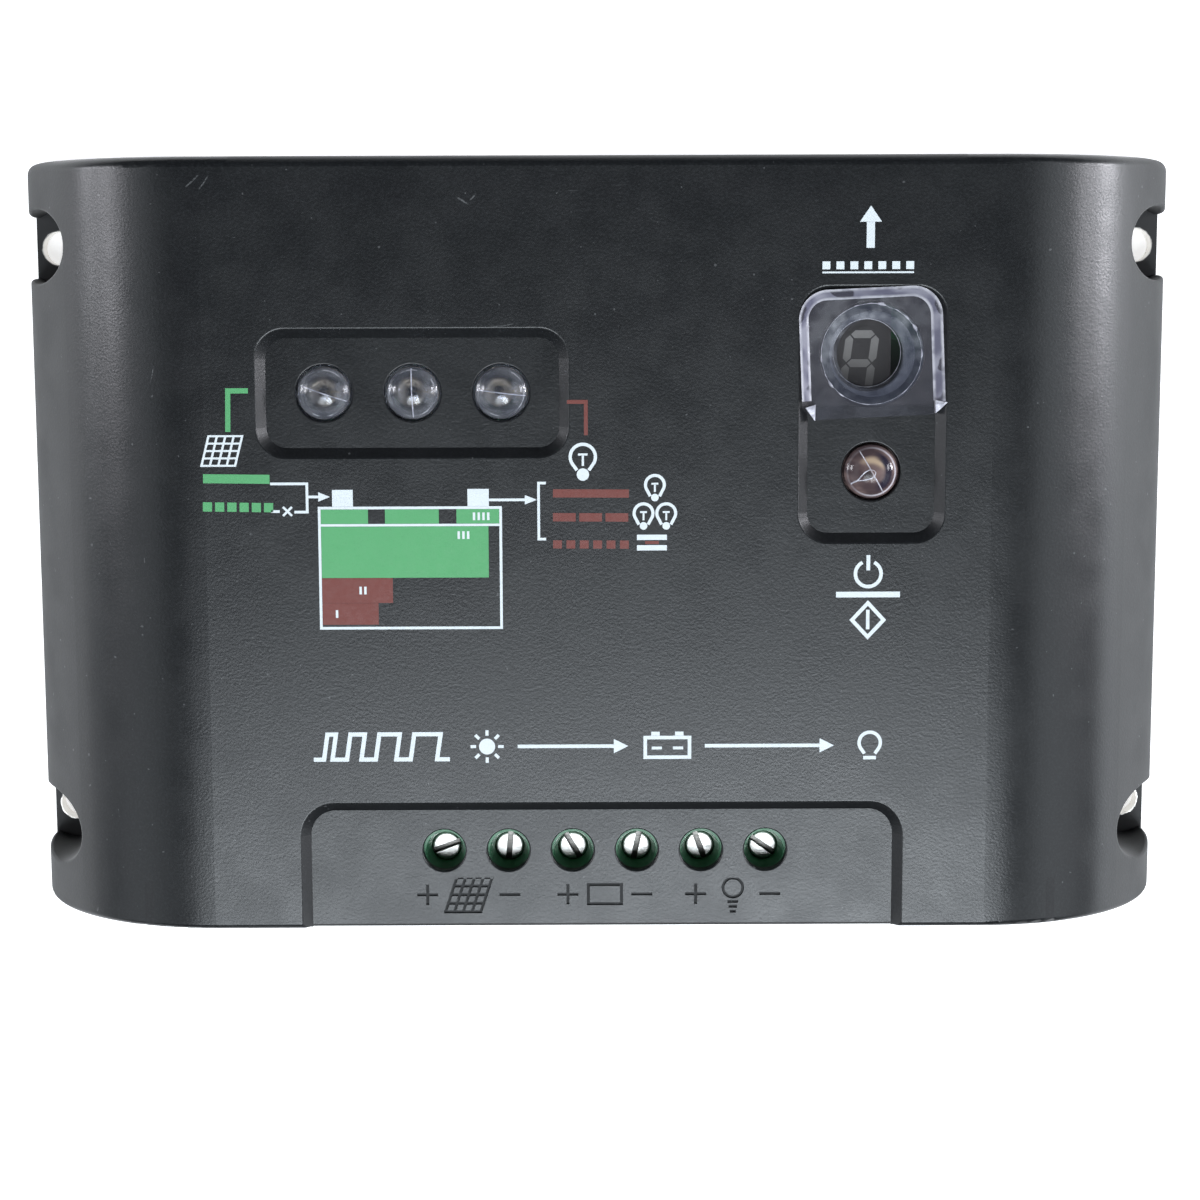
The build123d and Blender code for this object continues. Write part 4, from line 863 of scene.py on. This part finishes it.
def ragged_rim(name, centre, radius, level, thickness, raggedness):
    """Rim of moulding flash round the window's collar, worst at two places; raggedness 0 gives a
    clean bead."""
    steps, sides = 180, 6
    shape = bmesh.new()
    rings = []
    for k in range(steps):
        turn = 2 * math.pi * k / steps
        wave = math.sin(3 * turn + 0.7) * math.sin(11 * turn + 1.4) + 0.6 * math.sin(23 * turn + 2.0)
        upper_right = max(0.0, math.cos(turn - 0.95))
        lower_left = max(0.0, math.cos(turn - 3.7))
        worst = 0.12 + 0.88 * upper_right ** 2 + 0.7 * lower_left ** 10
        chip = max(0.0, wave) * worst
        out = radius + 0.07 * raggedness * wave * worst
        thick = thickness * (1 - 0.7 * raggedness + 2.6 * raggedness * chip)
        ring = []
        for j in range(sides):
            a = 2 * math.pi * j / sides
            r = out + thick * math.cos(a)
            ring.append(shape.verts.new(Vector((centre.x + r * math.cos(turn), centre.y + r * math.sin(turn),
                                                level + thick * math.sin(a))) * MM))
        rings.append(ring)
    for a, b in zip(rings, rings[1:] + rings[:1]):
        for j in range(sides):
            shape.faces.new([a[j], a[(j + 1) % sides], b[(j + 1) % sides], b[j]])
    return finish_piece(name, shape, flash_glint_plastic, "controller", True)


# the collar's rim and the bore's bead are pale, a painted highlight
ragged_rim("window_collar_rim", digit_hole, collar_radius, face_z - 0.9, 0.07, 1.0)
ragged_rim("window_bore_bead", digit_hole, bore_radius - 0.02, window_low.z + 0.06, 0.045, 0.0)

# tips of the flared sides, which stand proud of the window's lower edge, pale as a painted highlight
layer("window_tip_left", [[(23.95, 16.35), (25.05, 14.85), (25.1, 16.7)]], flash_glint_plastic,
      face_z - 1.0, face_z)
layer("window_tip_right", [[(39.0, 15.7), (40.35, 16.95), (38.95, 17.2)]], flash_glint_plastic,
      face_z - 1.0, face_z)

# pip where the button's runner was cut off, and the weld line beside it, both pale as a painted highlight
button_dome = (button_radius ** 2 + button_rise ** 2) / (2 * button_rise)


def on_button(dx, dy):
    """Point on the button's dome at this offset from its middle, kept below the crown."""
    level = button_high.z - button_dome + math.sqrt(button_dome ** 2 - dx * dx - dy * dy)
    return (button_centre.x + dx, button_centre.y + dy, min(level, button_high.z - 0.08))


pip = bmesh.new()
outline = [(-1.65, -1.0), (-1.25, -0.45), (-0.80, 0.05), (-0.30, 0.30), (0.15, 0.25), (0.40, -0.02),
           (0.28, -0.42), (-0.15, -0.72), (-0.85, -0.90), (-1.65, -1.0)]
tube(pip, [on_button(x, y) for x, y in outline], 0.075, 8)
finish_piece("mode_button_pip", pip, flash_glint_plastic, "mode_button", True)
weld = bmesh.new()
weld_line = ((-2.35, -1.40), (-2.0, -1.15), (-1.7, -1.02), (-1.55, -0.80))
tube(weld, [on_button(x, y) for x, y in weld_line], 0.09, 6)
finish_piece("mode_button_weld", weld, flash_glint_plastic, "mode_button", True)


# ------------------------------------------------------------------ floor, lights and camera
def floor():
    """Wide pale floor that glows a little, more so far from the object."""
    material, tree, shader = new_material("floor", Roughness=0.9, Emission_Color=rgb(1.0, 1.0, 1.0))
    place = position(tree)
    away = from_centre(tree, place, Vector((0, 0, 0)))[0]
    tree.links.new(ramp(tree, away, 0.3, 1.2, 0.65, 0.95), shader.inputs["Emission Strength"])
    drift = noise(tree, place, 90.0, 2.0)
    connect(tree, shader, mix(tree, drift, rgb(0.90, 0.90, 0.90), rgb(0.93, 0.93, 0.93)))
    mesh = bpy.data.meshes.new("floor")
    half = 20.0
    level = -0.0002
    corners = [(-half, -half, level), (half, -half, level), (half, half, level), (-half, half, level)]
    mesh.from_pydata(corners, [], [(0, 1, 2, 3)])
    mesh.materials.append(material)
    piece = bpy.data.objects.new("floor", mesh)
    bpy.context.scene.collection.objects.link(piece)


def softbox(name, azimuth, elevation, size, radiance, colour):
    """Softbox a metre away and aimed at the object: azimuth from +X and elevation in degrees,
    size in metres, radiance of its face."""
    turn, lift = math.radians(azimuth), math.radians(elevation)
    place = Vector((math.cos(lift) * math.cos(turn), math.cos(lift) * math.sin(turn), math.sin(lift)))
    lamp = bpy.data.lights.new(name, "AREA")
    lamp.shape = "RECTANGLE"
    lamp.size, lamp.size_y = size
    lamp.energy = radiance * math.pi * size[0] * size[1]
    lamp.color = colour
    made = bpy.data.objects.new(name, lamp)
    made.location = place
    made.rotation_mode = "QUATERNION"
    made.rotation_quaternion = (place - Vector((0, 0, 0.01))).to_track_quat("Z", "Y")
    bpy.context.scene.collection.objects.link(made)


floor()
cool, soft = (0.93, 1.0, 1.06), (0.98, 0.98, 1.04)
softbox("key_right", -68, 62, (0.30, 0.30), 14.7, cool)
softbox("key_left", -112, 62, (0.30, 0.30), 9.1, cool)
softbox("key_middle", -90, 74, (0.50, 0.14), 6.6, cool)
softbox("right_strip_low", 10, 12, (0.26, 0.10), 58.0, soft)
softbox("right_strip_high", 10, 26, (0.26, 0.12), 21.0, soft)
softbox("left_strip_low", 170, 12, (0.26, 0.10), 19.7, soft)
softbox("left_strip_high", 170, 26, (0.26, 0.13), 21.5, soft)
softbox("right_wall", 0, 3, (1.2, 0.12), 3.9, cool)
softbox("left_wall", 180, 9, (1.2, 0.14), 1.2, cool)
softbox("right_fill", 0, 45, (1.2, 0.30), 1.7, cool)
softbox("left_fill", 180, 45, (1.2, 0.30), 1.0, cool)
softbox("right_front_fill", -25, 28, (0.5, 0.30), 1.5, cool)
softbox("left_front_fill", -155, 28, (0.5, 0.30), 1.2, cool)

world = bpy.data.worlds.new("studio")
bpy.context.scene.world = world
world.use_nodes = True
background = world.node_tree.nodes["Background"]
background.inputs["Color"].default_value = rgb(0.96, 0.98, 1.0)
background.inputs["Strength"].default_value = 0.03
bpy.context.scene.view_settings.view_transform = "Standard"

camera = bpy.data.cameras.new("camera")
camera.lens = 70.9
camera.sensor_width = 36.0
camera.clip_start = 0.01
camera.clip_end = 60.0
holder = bpy.data.objects.new("camera", camera)
pitch, yaw, roll = -0.1309, 0.0019, 0.0034
cp, sp = math.cos(pitch), math.sin(pitch)
cy, sy = math.cos(yaw), math.sin(yaw)
cr, sr = math.cos(roll), math.sin(roll)
turn_x = Matrix(((1, 0, 0), (0, cp, sp), (0, -sp, cp)))
turn_y = Matrix(((cy, 0, sy), (0, 1, 0), (-sy, 0, cy)))
turn_z = Matrix(((cr, -sr, 0), (sr, cr, 0), (0, 0, 1)))
world_to_camera = turn_z @ turn_x @ turn_y
holder.rotation_mode = "QUATERNION"
holder.rotation_quaternion = world_to_camera.transposed().to_quaternion()
holder.location = Vector((-0.386, 30.07, 301.35)) * MM
bpy.context.scene.collection.objects.link(holder)
bpy.context.scene.camera = holder
